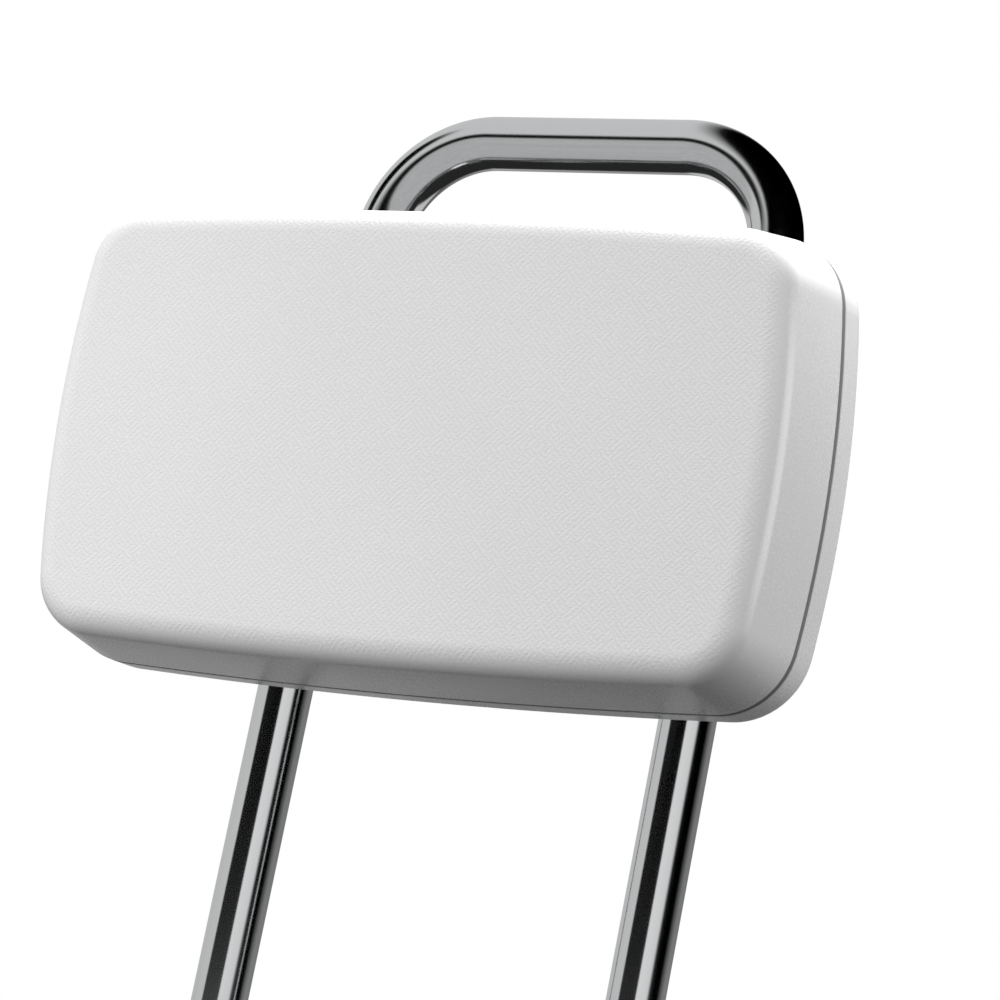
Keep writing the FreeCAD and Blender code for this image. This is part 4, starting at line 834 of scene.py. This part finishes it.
class GATE_OT_tilt_joint(bpy.types.Operator):
    """Finishes the clamps, brackets, washers and grommet"""

    bl_idname = "gate.tilt_joint"
    bl_label = "Tilt joint"

    def execute(self, context):
        pale = (0.58, 0.58, 0.58)
        cast = metal_finish("cast_aluminium", pale, rough=0.42, stretch=(1, 1, 1), scale=900.0, depth=0.00003)
        finish_nodes(cast, "clamp_front_left", "clamp_front_right", "clamp_rear_left", "clamp_rear_right")
        finish_nodes(painted_finish("black_paint", (0.022, 0.022, 0.024)), "tilt_bracket", "head_bracket")
        finish_nodes(nylon(), "friction_washers")
        finish_nodes(rubber_finish("black_rubber", (0.02, 0.02, 0.021)), "leg_entry_grommet")
        return {"FINISHED"}


class GATE_OT_fasteners(bpy.types.Operator):
    """Finishes every screw, bolt and nut"""

    bl_idname = "gate.fasteners"
    bl_label = "Fasteners"

    def execute(self, context):
        plated = (
            "cover_screws leg_screws clamp_bolts clamp_nuts shell_screws bracket_screws bracket_nuts "
            "pivot_bolt_left pivot_bolt_right pivot_nuts board_screws coil_screws"
        )
        grey = (0.46, 0.46, 0.46)
        steel = metal_finish("fastener_steel", grey, rough=0.26, stretch=(1, 1, 12), scale=260.0)
        finish_nodes(steel, *plated.split())
        return {"FINISHED"}


class GATE_OT_antenna_coil(bpy.types.Operator):
    """Winds the antenna coil on its former"""

    bl_idname = "gate.antenna_coil"
    bl_label = "Antenna coil"

    def execute(self, context):
        """The winding's outer side is a row of half-round wires: their inset is the wire's radius less the
        radius times the absolute sine of the turn. It is carried round a rectangle with round corners.
        """
        coil = context.scene.gate_coil
        low, high = head_box("antenna_coil")
        wire = (high[1] - low[1]) / coil.wires / 2
        turn = np.linspace(0, math.pi, 8, endpoint=False)
        depth = (low[1] + wire + wire * 2 * np.arange(coil.wires))[:, None] - wire * np.cos(turn)
        inset = np.broadcast_to(wire * (1 - np.sin(turn)), depth.shape)
        outer = np.stack((inset.ravel(), depth.ravel()), -1)
        profile = np.vstack((outer, [(wire, high[1]), (coil.thick, high[1]), (coil.thick, low[1])]))
        outline = rounded_outline(high[0] - low[0], high[2] - low[2], coil.corner)
        rings = to_gate(carried(outline, profile))
        material = winding_finish("copper_winding")
        piece = new_piece("coil_winding", rings, "head", material, ring_closed=True, sharp=60)
        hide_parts("antenna_coil")
        finish_nodes(nylon(), "coil_former")
        return {"FINISHED"}


class GATE_OT_electronics(bpy.types.Operator):
    """Finishes the chassis plate, the circuit board and what stands on it"""

    bl_idname = "gate.electronics"
    bl_label = "Electronics"

    def execute(self, context):
        brown = (0.16, 0.14, 0.12)
        core = metal_finish("laminated_core", brown, rough=0.45, stretch=(1, 40, 1), scale=90.0, depth=0.0001)
        zinc = metal_finish("zinc_sheet", (0.55, 0.56, 0.57), rough=0.32, stretch=(40, 1, 1))
        can = metal_finish("capacitor_can", (0.55, 0.56, 0.58), rough=0.3, stretch=(1, 20, 1))
        anodised = metal_finish("black_anodised", (0.035, 0.035, 0.037), rough=0.42, stretch=(1, 1, 30))
        finish_nodes(zinc, "chassis_plate", "shield_can")
        finish_nodes(circuit_finish("green_board"), "circuit_board")
        finish_nodes(brass(), "board_standoffs", "trimmer_rotor")
        finish_nodes(core, "transformer")
        finish_nodes(can, "capacitors")
        finish_nodes(anodised, "heat_sink")
        finish_nodes(moulded_finish("green_plastic", (0.02, 0.22, 0.06), rough=0.3), "terminal_block")
        finish_nodes(moulded_finish("blue_plastic", (0.012, 0.05, 0.26), rough=0.3), "trimmer_body")
        return {"FINISHED"}


# ---------------------------------------------------------------- stage

# Panels that mirrors see: the belt above the horizon, and the low one behind the gate. A stop is a bearing in
# degrees, nought towards the camera and rising to its right, and a grey level.
BELT = (
    (-180, 0.50),
    (-76, 0.56),
    (-72, 0.0),
    (-7, 0.0),
    (-4, 0.74),
    (36, 0.66),
    (46, 0.0),
    (84, 0.0),
    (118, 0.20),
    (180, 0.20),
)
LOW_BELT = (
    (-180, 0.50),
    (-162, 0.55),
    (-158, 0.0),
    (92, 0.0),
    (97, 0.60),
    (138, 0.50),
    (144, 0.05),
    (180, 0.30),
)
CEILING_GREY = 0.58
DARK_PATCH = (-0.79, -0.35, 0.50)
SENSOR_MM = 36
FLOOR_REACH, FLOOR_MIDDLE, FLOOR_RINGS, FLOOR_AROUND = 14.0, 0.5, 12, 96


def panel_ramp(tree, place, stops):
    """A colour ramp over the bearing: its place is a half towards the camera, and nought and one behind."""
    panels = node(tree, "ValToRGB", Fac=place)
    ramp = panels.color_ramp
    ramp.elements.remove(ramp.elements[-1])
    for k, (bearing, level) in enumerate(stops):
        at = (bearing + 180) / 360
        stop = ramp.elements[0] if k == 0 else ramp.elements.new(at)
        stop.position = at
        stop.color = (level, level, level, 1)
    return panels.outputs[0]


def studio_world(settings):
    """Soft light from all round, a little stronger from the right and from above, and weak from below.

    Mirrors see a painted studio instead: upright panels in a belt above the horizon, a ceiling that is light
    on the left only, but for one dark patch, and a floor that is pale in front, with low panels behind.
    """
    world = bpy.data.worlds.new("studio")
    bpy.context.scene.world = world
    world.use_nodes = True
    world.cycles.sampling_method = "NONE"
    tree = world.node_tree
    tree.nodes.clear()
    direction = node(tree, "TexCoord").outputs["Generated"]
    split = node(tree, "SeparateXYZ", i0=direction)
    height = split.outputs["Z"]

    def share(vector):
        made = node(tree, "VectorMath", {"operation": "DOT_PRODUCT"}, i0=direction, i1=vector)
        return made.outputs["Value"]

    above = span(tree, height, -0.06, 0.12, smooth=True)
    lean = math_node(tree, "ADD", share(settings.sky_lean), settings.sky)
    soft = math_node(tree, "MULTIPLY_ADD", above, lean, settings.bounce)

    ahead = (math.sin(settings.azimuth), -math.cos(settings.azimuth), 0)
    beside = (math.cos(settings.azimuth), math.sin(settings.azimuth), 0)
    bearing = math_node(tree, "ARCTAN2", share(beside), share(ahead))
    place = span(tree, bearing, -math.pi, math.pi)
    left = span(tree, split.outputs["X"], -0.2, -0.36)
    patch = span(tree, share(DARK_PATCH), 0.95, 0.975, CEILING_GREY, 0.0)
    ceiling = product(tree, left, patch)
    above_belt = span(tree, height, 0.26, 0.36)
    upper = blend_colours(tree, above_belt, panel_ramp(tree, place, BELT), ceiling)
    fore = span(tree, split.outputs["Y"], -0.05, -0.2)
    pale = span(tree, noise(tree, direction, 60.0, 3.0), 0.38, 0.68, 0.26, 0.62)
    over_floor = span(tree, height, -0.42, -0.33)
    hind = product(tree, panel_ramp(tree, place, LOW_BELT), over_floor)
    ground = math_node(tree, "ADD", blend_colours(tree, fore, hind, pale), 0.02)
    mirrored = blend_colours(tree, span(tree, height, 0.03, 0.115), ground, upper)

    paths = node(tree, "LightPath").outputs
    seen = blend_colours(tree, paths["Is Glossy Ray"], soft, mirrored)
    seen = blend_colours(tree, paths["Is Camera Ray"], seen, (1, 1, 1))
    background = node(tree, "Background", Color=seen)
    output = node(tree, "OutputWorld")
    tree.links.new(background.outputs[0], output.inputs[0])


def softbox(name, offset, side, power, only=(), gloss=False):
    """A square area light that looks at the head's middle from the offset, and that the camera doesn't see.

    It lights only the pieces that are given, or all where none are. A gloss light makes highlights only, and
    any other makes none.
    """
    target = Vector(HEAD_MIDDLE)
    place = target + Vector(offset)
    lamp = bpy.data.lights.new(name, "AREA")
    lamp.shape = "SQUARE"
    lamp.size = side
    lamp.energy = power
    holder = bpy.data.objects.new(name, lamp)
    holder.location = place
    holder.rotation_euler = (target - place).to_track_quat("-Z", "Y").to_euler()
    holder.visible_camera = False
    holder.visible_glossy = gloss
    holder.visible_diffuse = not gloss
    if only:
        reached = bpy.data.collections.new(name)
        for piece in only:
            reached.objects.link(piece)
        holder.light_linking.receiver_collection = reached
    bpy.context.scene.collection.objects.link(holder)


def pale_floor(tone):
    """A round floor that only the camera sees: rings of radius times cosine and sine, closed by a pole."""
    radii = np.linspace(FLOOR_REACH, FLOOR_MIDDLE, FLOOR_RINGS)
    rings = turned(np.stack((radii, np.zeros(FLOOR_RINGS)), -1), FLOOR_AROUND)
    points = np.vstack((rings.reshape(-1, 3), (0, 0, 0)))
    mesh = bpy.data.meshes.new("floor")
    mesh.from_pydata(points.tolist(), [], grid_faces(FLOOR_RINGS, FLOOR_AROUND, False, False, True))
    material, tree, shader, place = new_material("studio_floor", Roughness=0.8)
    speckle = group(tree, "Speckle", Vector=place, Fine=60.0, Broad=1.5)
    feed(tree, shader, Base_Color=tinted(tree, span(tree, speckle, *TONE_NOISE), tone, 0.985, 1.01))
    mesh.materials.append(material)
    floor = bpy.data.objects.new("floor", mesh)
    floor.visible_diffuse = False
    floor.visible_glossy = False
    bpy.context.scene.collection.objects.link(floor)


def studio_camera(stage):
    """A camera that looks from its azimuth and elevation at a point beside the head's middle, then rolls."""
    azimuth, elevation, roll = stage.azimuth, stage.elevation, stage.roll
    level = Vector((-math.sin(azimuth), math.cos(azimuth), 0))
    sight = level * math.cos(elevation) - Vector((0, 0, math.sin(elevation)))
    right = sight.cross(Vector((0, 0, 1))).normalized()
    up = right.cross(sight)
    right, up = right * math.cos(roll) + up * math.sin(roll), up * math.cos(roll) - right * math.sin(roll)
    aim = Vector(HEAD_MIDDLE) + right * stage.aim_right + up * stage.aim_up
    lens = bpy.data.cameras.new("camera")
    lens.sensor_width = SENSOR_MM
    lens.lens = stage.lens
    camera = bpy.data.objects.new("camera", lens)
    camera.location = aim - sight * stage.distance
    camera.rotation_euler = Matrix((right, up, -sight)).transposed().to_euler()
    bpy.context.scene.collection.objects.link(camera)
    bpy.context.scene.camera = camera


class GATE_OT_stage(bpy.types.Operator):
    """Sets the camera, the soft studio light and the pale floor"""

    bl_idname = "gate.stage"
    bl_label = "Stage"

    def execute(self, context):
        stage = context.scene.gate_stage
        studio_camera(stage)
        context.scene.view_settings.view_transform = "Standard"
        studio_world(stage)
        head = frame["bodies"]["head"].children_recursive
        shell = [bpy.data.objects["front_shell_moulding"]]
        softbox("key", (-0.9, -1.1, -0.1), 0.9, stage.key)
        softbox("rim", (0.58, 1.1, 0.55), 0.7, stage.rim)
        softbox("top", (0.12, 0.27, 1.13), 0.5, stage.top, only=head)
        softbox("strip", (0.76, 0.08, 0.10), 0.36, stage.strip, only=shell, gloss=True)
        pale_floor(stage.floor)
        for piece in head:
            piece.visible_glossy = False
        return {"FINISHED"}


# ---------------------------------------------------------------- add-on

SETTINGS = (
    ("gate_tube", TubeSettings, "Frame tube"),
    ("gate_head", HeadSettings, "Head"),
    ("gate_coil", CoilSettings, "Antenna coil"),
    ("gate_finish", FinishSettings, "Finishes"),
    ("gate_stage", StageSettings, "Stage"),
)
PIECES = (
    GATE_OT_frame_tube,
    GATE_OT_front_shell,
    GATE_OT_seam_gasket,
    GATE_OT_rear_shell,
    GATE_OT_leg_collars,
    GATE_OT_base,
    GATE_OT_tilt_joint,
    GATE_OT_fasteners,
    GATE_OT_antenna_coil,
    GATE_OT_electronics,
    GATE_OT_stage,
)


class VIEW3D_PT_gate(bpy.types.Panel):
    """Lists the gate's settings and the pieces that it can build"""

    bl_label = "Security gate post"
    bl_space_type = "VIEW_3D"
    bl_region_type = "UI"
    bl_category = "Gate"

    def draw(self, context):
        for holder, kind, title in SETTINGS:
            box = self.layout.box()
            box.label(text=title)
            for name in kind.__annotations__:
                box.prop(getattr(context.scene, holder), name)
        for piece in PIECES:
            self.layout.operator(piece.bl_idname)


def register():
    for _, kind, _ in SETTINGS:
        bpy.utils.register_class(kind)
    for kind in (*PIECES, VIEW3D_PT_gate):
        bpy.utils.register_class(kind)
    for holder, kind, _ in SETTINGS:
        setattr(bpy.types.Scene, holder, PointerProperty(type=kind))


def unregister():
    for holder, _, _ in SETTINGS:
        delattr(bpy.types.Scene, holder)
    for kind in (VIEW3D_PT_gate, *reversed(PIECES)):
        bpy.utils.unregister_class(kind)
    for _, kind, _ in reversed(SETTINGS):
        bpy.utils.unregister_class(kind)


def main():
    register()
    for piece in PIECES:
        getattr(bpy.ops.gate, piece.bl_idname.split(".")[1])()


if __name__ == "__main__":
    main()
